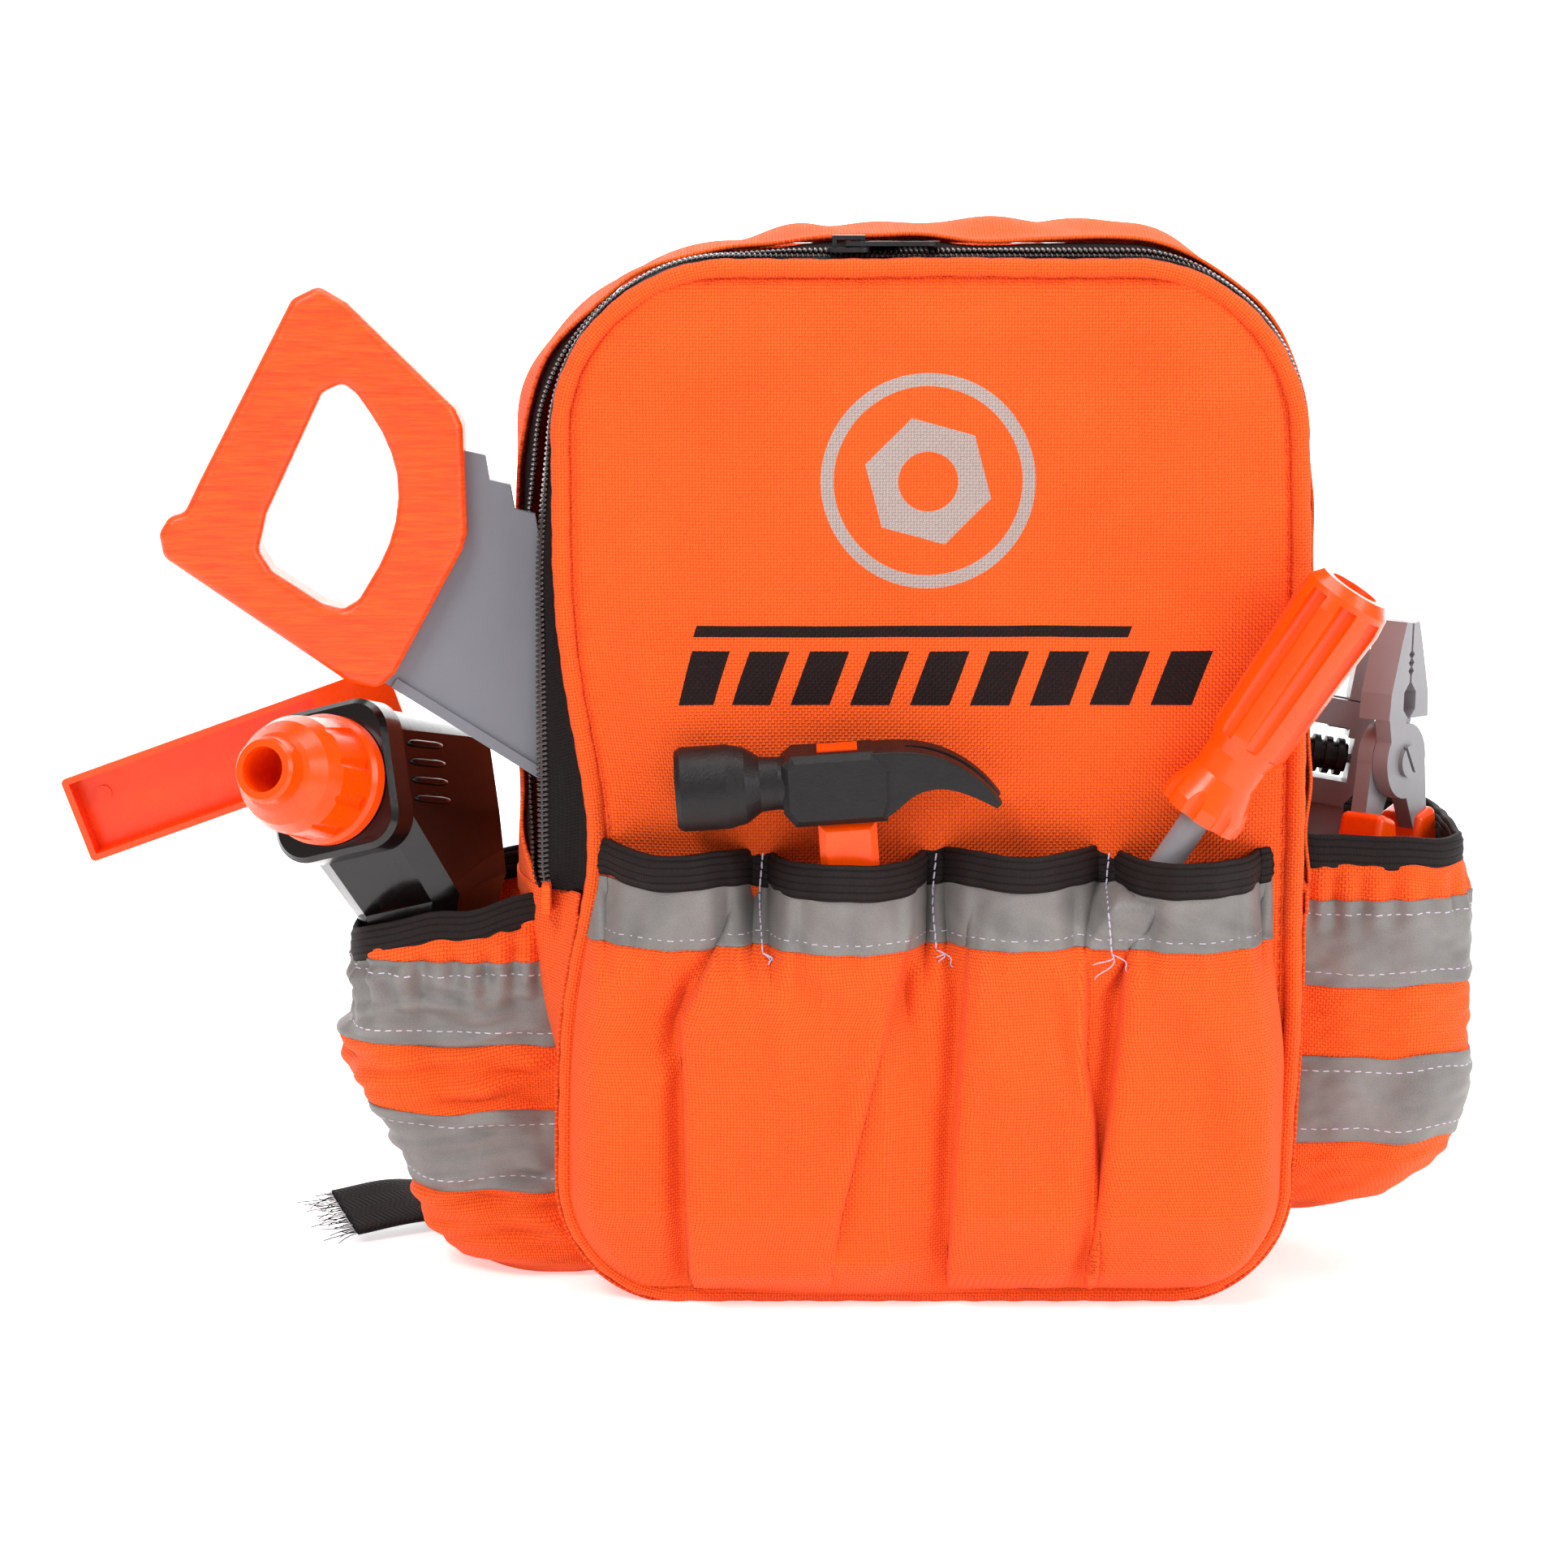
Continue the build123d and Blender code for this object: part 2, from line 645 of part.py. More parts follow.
with BuildPart() as pliers_back_grip:
    add(plier_grip(1, pliers_back_half.part))

with BuildPart() as pliers_pivot_screw:
    with BuildSketch(pliers.offset(-plier_t)):
        Circle(2.53)
    extrude(amount=2 * plier_t)
    with BuildSketch(pliers.offset(plier_t)):
        Circle(4.7)
        Rectangle(1.2, 12, rotation=35, mode=Mode.SUBTRACT)
    extrude(amount=1.4)

# ---------------------------------------------------------------- adjustable wrench
wrench_slope = radians(10)
wrench = Plane(origin=(119, 28, 145), x_dir=(cos(wrench_slope), 0, -sin(wrench_slope)), z_dir=(0, -1, 0))
wrench_t = 9.0
worm_r = 5.6
worm_l = 15.0
rail_r = 3.4

with BuildPart() as wrench_body:
    with BuildSketch(wrench):
        with BuildLine():
            Polyline(
                (-12.5, 18), (-12.5, 38), (-6, 38), (-1.5, 30), (-1.5, 17.5), (12.5, 17.5), (12.5, -8),
                (8.5, -14), (-8, -14), (-12.5, -8), close=True,
            )
        make_face()
        Rectangle(17, 2 * worm_r + 2, mode=Mode.SUBTRACT)
        with Locations((0, 7)):
            Rectangle(13, 5, mode=Mode.SUBTRACT)
    extrude(amount=wrench_t / 2, both=True)
    with BuildSketch(Plane.XZ.offset(-28)):
        with BuildLine():
            Polyline((110.5, 137), (126, 134), (125, 110), (126.5, 36), (112, 36), (111.5, 110), close=True)
        make_face()
    extrude(amount=wrench_t / 2 - 1, both=True)
    with BuildSketch(Plane(wrench.from_local_coords((-13, 11.8, 0)), z_dir=wrench.x_dir)):
        Circle(rail_r + 0.3)
    extrude(amount=30, mode=Mode.SUBTRACT)
    with BuildSketch(wrench):
        with Locations((5.6, 16)):
            Rectangle(14, 6, mode=Mode.ADD)
    extrude(amount=1.9, both=True, mode=Mode.SUBTRACT)

with BuildPart() as wrench_jaw:
    with BuildSketch(Plane(wrench.from_local_coords((0.4, 11.8, 0)), z_dir=wrench.x_dir)):
        Circle(rail_r)
    extrude(amount=13)
    with BuildSketch(wrench):
        with Locations((8.6, 15)):
            Rectangle(7.6, 6.4)
    extrude(amount=1.5, both=True)
    with BuildSketch(wrench):
        with BuildLine():
            Polyline((4.6, 17.9), (4.6, 31), (7.5, 34), (15, 19), (15, 17.9), close=True)
        make_face()
    extrude(amount=wrench_t / 2, both=True)

with BuildPart() as wrench_worm_pin:
    with BuildSketch(Plane(wrench.from_local_coords((-11, 0, 0)), z_dir=wrench.x_dir)):
        Circle(1.4)
    extrude(amount=22)
wrench_body.part = wrench_body.part - wrench_worm_pin.part

with BuildPart() as wrench_worm:
    with BuildSketch(Plane(wrench.from_local_coords((-worm_l / 2, 0, 0)), z_dir=wrench.x_dir)):
        Circle(worm_r - 1.3)
    extrude(amount=worm_l)
    for rib in range(4):
        with BuildSketch(Plane(wrench.from_local_coords((-6.4 + rib * 3.6, 0, 0)), z_dir=wrench.x_dir)):
            Circle(worm_r)
        extrude(amount=2.0)
    with BuildSketch(Plane(wrench.from_local_coords((-worm_l / 2, 0, 0)), z_dir=wrench.x_dir)):
        Circle(1.46)
    extrude(amount=worm_l, mode=Mode.SUBTRACT)

# ---------------------------------------------------------------- toy drill
yaw = radians(25)
pitch = radians(14)
roll = radians(16)
rake = radians(15)
nose = Vector(-sin(yaw) * cos(pitch), -cos(yaw) * cos(pitch), sin(pitch))
level_right = Vector(cos(yaw), -sin(yaw), 0)
level_up = Vector(sin(pitch) * sin(yaw), sin(pitch) * cos(yaw), cos(pitch))
drill_up = level_up * cos(roll) - level_right * sin(roll)
drill_right = level_right * cos(roll) + level_up * sin(roll)
flange = Vector(-169.0, -22, 145.6)
barrel = Plane(origin=flange, x_dir=drill_right, z_dir=nose)
grip_down = nose * -sin(rake) - drill_up * cos(rake)
grip_root = flange - nose * 28
grip_plane = Plane(origin=grip_root, x_dir=drill_right, z_dir=grip_down)
grip_front = grip_down.cross(drill_right).normalized()
seam = Plane(origin=flange, x_dir=nose, z_dir=drill_right)
body_w = 38.0
body_h = 41.0
body_l = 62.0
chin_l = 34.0           # the chin blends into the grip this far down
grip_w = 24.0
grip_d = 32.0
grip_l = 99.0
shell = 2.2
spindle_r = 3.9
spindle_bore = 3.97
socket_r = 6.4

chin = Plane(origin=flange - nose * (body_l / 2) - drill_up * 10, x_dir=drill_right, z_dir=-drill_up)
swell = 6.5             # the right side swells this far towards the back
grip_taper = 58.0       # the case narrows to the plain grip this far down


def eight_sided(left, right, rear, front, cut, back_right=0.0):
    """Cut-cornered section of the case; back_right pushes its rear right corner out."""
    Polygon(
        (left, front - cut), (left + cut, front), (right - cut, front), (right, front - cut),
        (right + back_right, rear + cut), (right + back_right - cut, rear), (left + cut, rear),
        (left, rear + cut), align=None,
    )


with BuildPart() as drill_solid:
    with BuildSketch(barrel.offset(-body_l)):
        RectangleRounded(body_w, body_h, 10)
    extrude(amount=body_l - 3)
    chamfer(drill_solid.faces().sort_by(Axis(flange, nose))[0].edges(), 7)
    with BuildSketch(barrel.offset(-10)):
        RectangleRounded(body_w + 2.4, body_h + 2.4, 10)
    extrude(amount=10)
    chamfer(drill_solid.faces().sort_by(Axis(flange, nose))[-1].edges(), 1.5)
    with BuildSketch(chin):
        eight_sided(-18.8, 18.8, -28.5, 28.5, 6.5, swell)
    with BuildSketch(grip_plane.offset(chin_l)):
        eight_sided(-12, 22, -28, 16, 6)
    loft(ruled=True)
    with BuildSketch(grip_plane.offset(chin_l)):
        eight_sided(-12, 22, -28, 16, 6)
    with BuildSketch(grip_plane.offset(grip_taper)):
        eight_sided(-12, 12, -16, 16, 4)
    loft(ruled=True)
    with BuildSketch(chin.offset(-22)):
        Polygon((14, 26), (18.9, 22), (18.8 + swell, -22), (12.3 + swell, -28.5), (8, -28.5), align=None)
    extrude(amount=22)
    with BuildSketch(grip_plane.offset(chin_l)):
        RectangleRounded(grip_w, grip_d, 8)
    extrude(amount=grip_l - chin_l)

with BuildPart() as drill_cavity:
    with BuildSketch(barrel.offset(-body_l + 8)):
        RectangleRounded(body_w - 2 * shell, body_h - 2 * shell, 8)
    extrude(amount=body_l - 13)
    with BuildSketch(chin):
        eight_sided(-16.6, 16.6, -26.3, 26.3, 6.5, swell)
    with BuildSketch(grip_plane.offset(chin_l)):
        eight_sided(-9.8, 19.8, -25.8, 13.8, 6)
    loft(ruled=True)
    with BuildSketch(grip_plane.offset(chin_l)):
        eight_sided(-9.8, 19.8, -25.8, 13.8, 6)
    with BuildSketch(grip_plane.offset(grip_taper)):
        eight_sided(-9.8, 9.8, -13.8, 13.8, 4)
    loft(ruled=True)
    with BuildSketch(grip_plane.offset(chin_l)):
        RectangleRounded(grip_w - 2 * shell, grip_d - 2 * shell, 6)
    extrude(amount=grip_l - chin_l)

trigger_at = grip_root + grip_down * 46 + grip_front * (grip_d / 2)
trigger_plane = Plane(origin=trigger_at, x_dir=drill_right, z_dir=grip_front)

with BuildPart() as drill_shells:
    add(drill_solid.part)
    add(drill_cavity.part, mode=Mode.SUBTRACT)
    with BuildSketch(barrel.offset(-8)):
        Circle(spindle_bore)
    extrude(amount=10, mode=Mode.SUBTRACT)
    with BuildSketch(trigger_plane.offset(-5)):
        Rectangle(8.8, 16.8)
    extrude(amount=10, mode=Mode.SUBTRACT)
    with BuildSketch(seam.offset(body_w / 2)):
        for row in range(4):
            with Locations((-25, 11 - 6.5 * row)):
                SlotOverall(24, 2.4)
    extrude(amount=-0.9, mode=Mode.SUBTRACT)

screw_spots = [(-50.5, 8, body_w / 2), (-11, 8, body_w / 2), (-48, 45.4, grip_w / 2)]

with BuildPart() as drill_screws:
    for along, down, reach in screw_spots:
        with BuildSketch(seam.offset(-reach)):
            with Locations((along, down)):
                Circle(2.4)
        extrude(amount=1.4)
        with BuildSketch(seam.offset(-reach)):
            with Locations((along, down)):
                Circle(1.1)
        extrude(amount=reach)

with BuildPart() as drill_left_shell:
    add(drill_shells.part)
    split(bisect_by=seam, keep=Keep.BOTTOM)
    add(drill_screws.part, mode=Mode.SUBTRACT)

with BuildPart() as drill_right_shell:
    add(drill_shells.part)
    split(bisect_by=seam, keep=Keep.TOP)

with BuildPart() as drill_chuck:
    with BuildSketch(Plane(origin=flange, x_dir=nose, z_dir=drill_right)):
        with BuildLine():
            Polyline(
                (0.6, spindle_r), (0.6, 18.6), (4.5, 18.6), (6, 17.6), (20, 16.6), (25, 14.6), (29, 11),
                (30, 9.6), (35, 9.2), (36, 8.4), (36, socket_r), (18, socket_r), (18, 3), (12, 3), (12, spindle_r),
                close=True,
            )
        make_face()
    revolve(axis=Axis(flange, nose))
    with BuildSketch(barrel.offset(7)):
        with PolarLocations(18.6, 10):
            Circle(2.4)
    extrude(amount=22, mode=Mode.SUBTRACT)

with BuildPart() as drill_spindle:
    with BuildSketch(barrel.offset(-20)):
        Circle(spindle_r)
    extrude(amount=32)

with BuildPart() as drill_motor:
    with BuildSketch(barrel.offset(-48)):
        Circle(13.5)
    extrude(amount=32)
    with BuildSketch(barrel.offset(-21)):
        Circle(spindle_bore)
    extrude(amount=6, mode=Mode.SUBTRACT)

with BuildPart() as drill_trigger:
    with BuildSketch(trigger_plane.offset(-6)):
        Rectangle(8, 16)
    extrude(amount=12)
    chamfer(drill_trigger.faces().sort_by(Axis(trigger_at, grip_front))[-1].edges(), 1.8)

with BuildPart() as drill_switch:
    with BuildSketch(trigger_plane.offset(-22)):
        Rectangle(9, 12)
    extrude(amount=9.6)

with BuildPart() as drill_batteries:
    for cell in (-5.4, 5.4):
        with BuildSketch(grip_plane.offset(54)):
            with Locations((0, cell)):
                Circle(5.2)
        extrude(amount=44.5)

with BuildPart() as drill_battery_cover:
    with BuildSketch(grip_plane.offset(grip_l + 0.3)):
        RectangleRounded(grip_w, grip_d, 8)
    extrude(amount=2.6)

# ---------------------------------------------------------------- export
pieces = {
    "front_panel": front_panel, "back_panel": back_panel, "front_piping": front_piping,
    "back_piping": back_piping, "lower_gusset": lower_gusset, "upper_gusset": upper_gusset,
    "zip_tape_front": zip_tape_front, "zip_tape_back": zip_tape_back,
    "zip_coil_front": zip_coil_front, "zip_coil_back": zip_coil_back, "zip_end_tabs": zip_end_tabs,
    "zip_slider": zip_slider, "zip_pull": zip_pull,
    "front_pocket": front_pocket, "front_pocket_binding": front_pocket_binding,
    "front_pocket_tape": front_pocket_tape,
    "left_pocket": left_pocket, "left_pocket_binding": left_pocket_binding,
    "left_pocket_tapes": left_pocket_tapes,
    "right_pocket": right_pocket, "right_pocket_binding": right_pocket_binding,
    "right_pocket_tapes": right_pocket_tapes,
    "grab_handle": grab_handle, "left_shoulder_strap": left_shoulder_strap,
    "right_shoulder_strap": right_shoulder_strap, "left_lower_webbing": left_lower_webbing,
    "right_lower_webbing": right_lower_webbing, "strap_adjusters": strap_adjusters,
    "left_webbing_tail": left_webbing_tail, "right_webbing_tail": right_webbing_tail,
    "saw_handle": saw_handle, "saw_blade": saw_blade,
    "square_stock": square_stock, "square_blade": square_blade,
    "screwdriver_handle": screwdriver_handle, "screwdriver_shaft": screwdriver_shaft,
    "hammer_head": hammer_head, "hammer_handle": hammer_handle,
    "pliers_front_half": pliers_front_half, "pliers_back_half": pliers_back_half,
    "pliers_front_grip": pliers_front_grip, "pliers_back_grip": pliers_back_grip,
    "pliers_pivot_screw": pliers_pivot_screw,
    "wrench_body": wrench_body, "wrench_jaw": wrench_jaw, "wrench_worm": wrench_worm,
    "wrench_worm_pin": wrench_worm_pin,
    "drill_left_shell": drill_left_shell, "drill_right_shell": drill_right_shell,
    "drill_chuck": drill_chuck, "drill_spindle": drill_spindle, "drill_motor": drill_motor,
    "drill_trigger": drill_trigger, "drill_switch": drill_switch,
    "drill_batteries": drill_batteries, "drill_battery_cover": drill_battery_cover,
    "drill_screws": drill_screws,
}
for name, piece in pieces.items():
    piece.part.label = name
    export_step(piece.part, f"parts/{name}.step")
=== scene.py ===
import math

import bmesh
import bpy
import numpy as np
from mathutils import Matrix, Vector


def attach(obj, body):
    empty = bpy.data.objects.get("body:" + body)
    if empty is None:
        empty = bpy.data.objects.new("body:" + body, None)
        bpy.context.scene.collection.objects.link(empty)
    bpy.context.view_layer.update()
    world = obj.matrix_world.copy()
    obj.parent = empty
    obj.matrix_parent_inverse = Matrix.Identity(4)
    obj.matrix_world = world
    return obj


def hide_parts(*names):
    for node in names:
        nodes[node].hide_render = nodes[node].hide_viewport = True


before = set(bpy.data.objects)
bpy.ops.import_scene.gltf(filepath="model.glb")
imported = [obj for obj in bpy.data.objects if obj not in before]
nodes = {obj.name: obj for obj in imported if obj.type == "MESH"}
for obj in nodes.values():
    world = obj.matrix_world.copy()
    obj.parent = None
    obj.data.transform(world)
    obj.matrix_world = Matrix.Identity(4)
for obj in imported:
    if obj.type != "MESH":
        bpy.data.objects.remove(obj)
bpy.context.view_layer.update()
MM = 0.001
rng = np.random.default_rng(7)

# ------------------------------------------------------------------ small maths


def smooth(t):
    t = np.clip(t, 0.0, 1.0)
    return t * t * (3 - 2 * t)


def bump(x, centre, width):
    return np.exp(-(((x - centre) / width) ** 2))


def waves(a, b, scale, seed, count=7):
    """Soft irregular ripples over two coordinates in mm, about -1 to 1."""
    r = np.random.default_rng(seed)
    total = np.zeros(np.broadcast(a, b).shape)
    for _ in range(count):
        angle = r.uniform(0, 2 * math.pi)
        k = 2 * math.pi / (scale * r.uniform(0.6, 1.6))
        total = total + np.sin(k * (a * math.cos(angle) + b * math.sin(angle)) + r.uniform(0, 6.28))
    return total / math.sqrt(count) * 0.7


def ridge(x, z, p, q, width):
    """1 along the line p-q, fading to 0 at this width from it."""
    px, pz = p
    qx, qz = q
    dx, dz = qx - px, qz - pz
    t = np.clip(((x - px) * dx + (z - pz) * dz) / (dx * dx + dz * dz), 0, 1)
    d = np.hypot(x - px - t * dx, z - pz - t * dz)
    return np.exp(-((d / width) ** 2)) * np.sin(math.pi * np.clip(t, 0.02, 0.98)) ** 0.5


# ------------------------------------------------------------------ mesh makers


def finish_object(name, me, material, body, shade=True):
    ob = bpy.data.objects.new(name, me)
    bpy.context.scene.collection.objects.link(ob)
    if material:
        me.materials.append(material)
    if shade:
        me.polygons.foreach_set("use_smooth", [True] * len(me.polygons))
    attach(ob, body)
    return ob


def grid(name, pts, uv, material, body="bag", wrap=False, flip=False):
    """Surface through a grid of points (rows, columns, 3) in mm, with uv in mm."""
    rows, cols = pts.shape[:2]
    me = bpy.data.meshes.new(name)
    verts = (pts.reshape(-1, 3) * MM).tolist()
    faces = []
    uvs = []
    last = cols if wrap else cols - 1
    for i in range(rows - 1):
        for j in range(last):
            k = (j + 1) % cols
            quad = [(i, j), (i, k), (i + 1, k), (i + 1, j)]
            if flip:
                quad.reverse()
            faces.append([a * cols + b for a, b in quad])
            for a, b in quad:
                if wrap and b == 0 and k == 0:
                    uvs.append((2 * uv[a, cols - 1, 0] - uv[a, cols - 2, 0], uv[a, b, 1]))
                else:
                    uvs.append((uv[a, b, 0], uv[a, b, 1]))
    me.from_pydata(verts, [], faces)
    layer = me.uv_layers.new(name="UVMap")
    layer.data.foreach_set("uv", (np.array(uvs) * MM).ravel())
    me.update()
    return finish_object(name, me, material, body)


def apply_modifiers(ob):
    bpy.context.view_layer.update()
    deps = bpy.context.evaluated_depsgraph_get()
    me = bpy.data.meshes.new_from_object(ob.evaluated_get(deps))
    old = ob.data
    ob.modifiers.clear()
    ob.data = me
    bpy.data.meshes.remove(old)


def thicken(ob, mm, offset=-1.0):
    mod = ob.modifiers.new("thick", "SOLIDIFY")
    mod.thickness = mm * MM
    mod.offset = offset
    mod.use_even_offset = False
    apply_modifiers(ob)
    return ob


def frames_along(path):
    """Unit tangents of a polyline (n, 3)."""
    t = np.gradient(path, axis=0)
    return t / np.linalg.norm(t, axis=1)[:, None]


def tube(name, path, radius, material, body="bag", sides=14, closed=False, side=(0, 1, 0), flat=1.0):
    """Round or flattened tube along a path in mm; radius may vary along it."""
    n = len(path)
    if closed:
        t = np.roll(path, -1, axis=0) - np.roll(path, 1, axis=0)
        t = t / np.linalg.norm(t, axis=1)[:, None]
    else:
        t = frames_along(path)
    a = np.cross(t, np.array(side, float))
    a = a / np.linalg.norm(a, axis=1)[:, None]
    b = np.cross(a, t)
    r = np.broadcast_to(radius, (n,))
    ang = np.linspace(0, 2 * math.pi, sides, endpoint=False)
    ring = a[:, None] * np.cos(ang)[None, :, None] + b[:, None] * (flat * np.sin(ang))[None, :, None]
    pts = path[:, None] + ring * r[:, None, None]
    length = np.concatenate([[0], np.cumsum(np.linalg.norm(np.diff(path, axis=0), axis=1))])
    uv = np.stack(np.broadcast_arrays(length[:, None], (ang * np.mean(r))[None, :]), axis=-1)
    if closed:
        pts = np.concatenate([pts, pts[:1]])
        uv = np.concatenate([uv, uv[-1:] + [[[np.linalg.norm(path[0] - path[-1]), 0]]]])
    ob = grid(name, pts, uv, material, body, wrap=True)
    if not closed:
        bm = bmesh.new()
        bm.from_mesh(ob.data)
        bmesh.ops.holes_fill(bm, edges=[e for e in bm.edges if e.is_boundary])
        bm.to_mesh(ob.data)
        bm.free()
    return ob


def many(name, template, places, material, body="bag"):
    """Copies of one small mesh (verts, faces) at (origin, x, y, z) frames, joined."""
    verts, faces = template
    verts = np.array(verts, float)
    all_v = []
    all_f = []
    for k, (o, ax, ay, az) in enumerate(places):
        m = np.stack([ax, ay, az], axis=1)
        all_v.append(verts @ m.T + np.array(o))
        all_f.extend([[i + k * len(verts) for i in f] for f in faces])
    me = bpy.data.meshes.new(name)
    me.from_pydata((np.concatenate(all_v) * MM).tolist(), [], all_f)
    me.update()
    return finish_object(name, me, material, body)


def capsule(length, radius, sides=6):
    """Small rounded stick along x."""
    verts = []
    rows = [(-0.5, 0.0), (-0.42, 0.75), (-0.25, 1.0), (0.25, 1.0), (0.42, 0.75), (0.5, 0.0)]
    for x, r in rows:
        for k in range(sides):
            a = 2 * math.pi * k / sides
            verts.append((x * length, radius * r * math.cos(a), radius * r * math.sin(a)))
    faces = []
    for i in range(len(rows) - 1):
        for k in range(sides):
            n = (k + 1) % sides
            faces.append((i * sides + k, i * sides + n, (i + 1) * sides + n, (i + 1) * sides + k))
    return verts, faces


def stitches(name, path, normal, material, step=3.0, length=2.1, radius=0.24, body="bag", slot=None, lift=0.12):
    """Running stitch along a path (n, 3), lying on a surface with these normals (n, 3)."""
    seg = np.concatenate([[0], np.cumsum(np.linalg.norm(np.diff(path, axis=0), axis=1))])
    count = max(2, int(seg[-1] / step))
    at = (np.arange(count) + 0.5) * seg[-1] / count
    o = np.stack([np.interp(at, seg, path[:, k]) for k in range(3)], axis=1)
    nn = np.stack([np.interp(at, seg, normal[:, k]) for k in range(3)], axis=1)
    nn = nn / np.linalg.norm(nn, axis=1)[:, None]
    tt = frames_along(path)
    tt = np.stack([np.interp(at, seg, tt[:, k]) for k in range(3)], axis=1)
    places = []
    for p, n, t in zip(o, nn, tt):
        t = t - n * t.dot(n)
        t = t / np.linalg.norm(t)
        b = np.cross(n, t)
        wob = rng.uniform(-0.12, 0.12)
        t2 = t * math.cos(wob) + b * math.sin(wob)
        places.append((p + n * lift, t2, np.cross(n, t2), n))
    return many(name, capsule(length, radius), places, material, body)


# ------------------------------------------------------------------ node maths


class Net:
    """Short way to write shader maths."""

    def __init__(self, name):
        self.mat = bpy.data.materials.new(name)
        self.mat.use_nodes = True
        self.t = self.mat.node_tree
        self.b = self.t.nodes["Principled BSDF"]

    def new(self, kind, **props):
        n = self.t.nodes.new(kind)
        for k, v in props.items():
            setattr(n, k, v)
        return n

    def put(self, socket, value):
        if isinstance(value, bpy.types.NodeSocket):
            self.t.links.new(value, socket)
        else:
            socket.default_value = value

    def m(self, op, a, b=0.0, c=None):
        n = self.new("ShaderNodeMath", operation=op)
        self.put(n.inputs[0], a)
        self.put(n.inputs[1], b)
        if c is not None:
            self.put(n.inputs[2], c)
        return n.outputs[0]

    def uv(self):
        n = self.new("ShaderNodeUVMap", uv_map="UVMap")
        s = self.new("ShaderNodeSeparateXYZ")
        self.put(s.inputs[0], n.outputs[0])
        return s.outputs[0], s.outputs[1], n.outputs[0]

    def obj(self):
        n = self.new("ShaderNodeTexCoord")
        s = self.new("ShaderNodeSeparateXYZ")
        self.put(s.inputs[0], n.outputs["Object"])
        return s.outputs[0], s.outputs[1], s.outputs[2], n.outputs["Object"]

    def noise(self, vector, scale, detail=3.0, rough=0.55):
        n = self.new("ShaderNodeTexNoise")
        self.put(n.inputs["Vector"], vector)
        n.inputs["Scale"].default_value = scale
        n.inputs["Detail"].default_value = detail
        n.inputs["Roughness"].default_value = rough
        return n.outputs["Fac"]

    def ramp(self, fac, lo, hi):
        n = self.new("ShaderNodeMapRange")
        n.clamp = True
        self.put(n.inputs["Value"], fac)
        n.inputs["From Min"].default_value = lo
        n.inputs["From Max"].default_value = hi
        return n.outputs["Result"]

    def mix(self, fac, a, b):
        n = self.new("ShaderNodeMix", data_type="RGBA")
        self.put(n.inputs["Factor"], fac)
        self.put(n.inputs[6], a)
        self.put(n.inputs[7], b)
        return n.outputs[2]

    def bumps(self, height, strength, distance):
        n = self.new("ShaderNodeBump")
        self.put(n.inputs["Height"], height)
        n.inputs["Strength"].default_value = strength
        n.inputs["Distance"].default_value = distance
        self.put(self.b.inputs["Normal"], n.outputs["Normal"])

    def set(self, **values):
        names = {
            "rough": "Roughness", "metal": "Metallic", "coat": "Coat Weight", "coat_rough": "Coat Roughness",
            "sheen": "Sheen Weight", "sheen_rough": "Sheen Roughness", "ior": "IOR",
            "spec": "Specular IOR Level", "sss": "Subsurface Weight", "sss_scale": "Subsurface Scale",
        }
        for k, v in values.items():
            self.put(self.b.inputs[names[k]], v)


def rgb(r, g, b):
    def lin(c):
        c = c / 255
        return c / 12.92 if c <= 0.04045 else ((c + 0.055) / 1.055) ** 2.4
    return (lin(r), lin(g), lin(b), 1.0)


def weave_height(n, u, v, pitch, slub):
    """Basket weave: paired threads over and under, with uneven threads."""
    k = 2 * math.pi / pitch  # one over-and-under pair; a thread is half of it
    su = n.m("SINE", n.m("MULTIPLY", u, k))
    sv = n.m("SINE", n.m("MULTIPLY", v, k))
    cell = n.m("MULTIPLY", su, sv)
    fine_u = n.m("ABSOLUTE", n.m("SINE", n.m("MULTIPLY", u, k)))
    fine_v = n.m("ABSOLUTE", n.m("SINE", n.m("MULTIPLY", v, k)))
    over = n.m("GREATER_THAN", cell, 0.0)
    thread = n.m("ADD", n.m("MULTIPLY", over, fine_u), n.m("MULTIPLY", n.m("SUBTRACT", 1.0, over), fine_v))
    return n.m("ADD", n.m("MULTIPLY", thread, 0.8), n.m("MULTIPLY", slub, 0.5))


def fabric(name, light, dark, pitch=0.0017, strength=0.9, rough=0.78, print_mask=None):
    n = Net(name)
    u, v, uv = n.uv()
    slub = n.noise(uv, 900, 2.0)
    height = weave_height(n, u, v, pitch, slub)
    blotch = n.noise(uv, 28, 4.0)
    # Partly painted shade: the weave height also sets the colour, so the hollows between threads take the dark colour;
    # the blotch noise is the cloth's own uneven tone.
    tone = n.m("ADD", n.m("MULTIPLY", n.ramp(height, 0.1, 0.95), 0.75), n.m("MULTIPLY", blotch, 0.25))
    colour = n.mix(n.ramp(tone, 0.2, 0.85), dark, light)
    if print_mask:
        for mask, ink, ink_shade in print_mask(n, u, v):
            worn = n.m("MULTIPLY", mask, n.ramp(height, 0.02, 0.3))
            # The ink is painted darker in the weave hollows too (painted shade).
            colour = n.mix(worn, colour, n.mix(n.ramp(tone, 0.2, 0.9), ink_shade, ink))
    n.put(n.b.inputs["Base Color"], colour)
    n.set(rough=rough, sheen=0.04, sheen_rough=0.5, spec=0.2)
    n.bumps(height, strength, 0.00035)
    return n.mat


ORANGE = rgb(250, 95, 27)
# Dark end of the orange cloth: painted shade for the weave hollows, and the dark side of its random blotches.
ORANGE_SHADE_AND_MOTTLE = rgb(208, 42, 4)


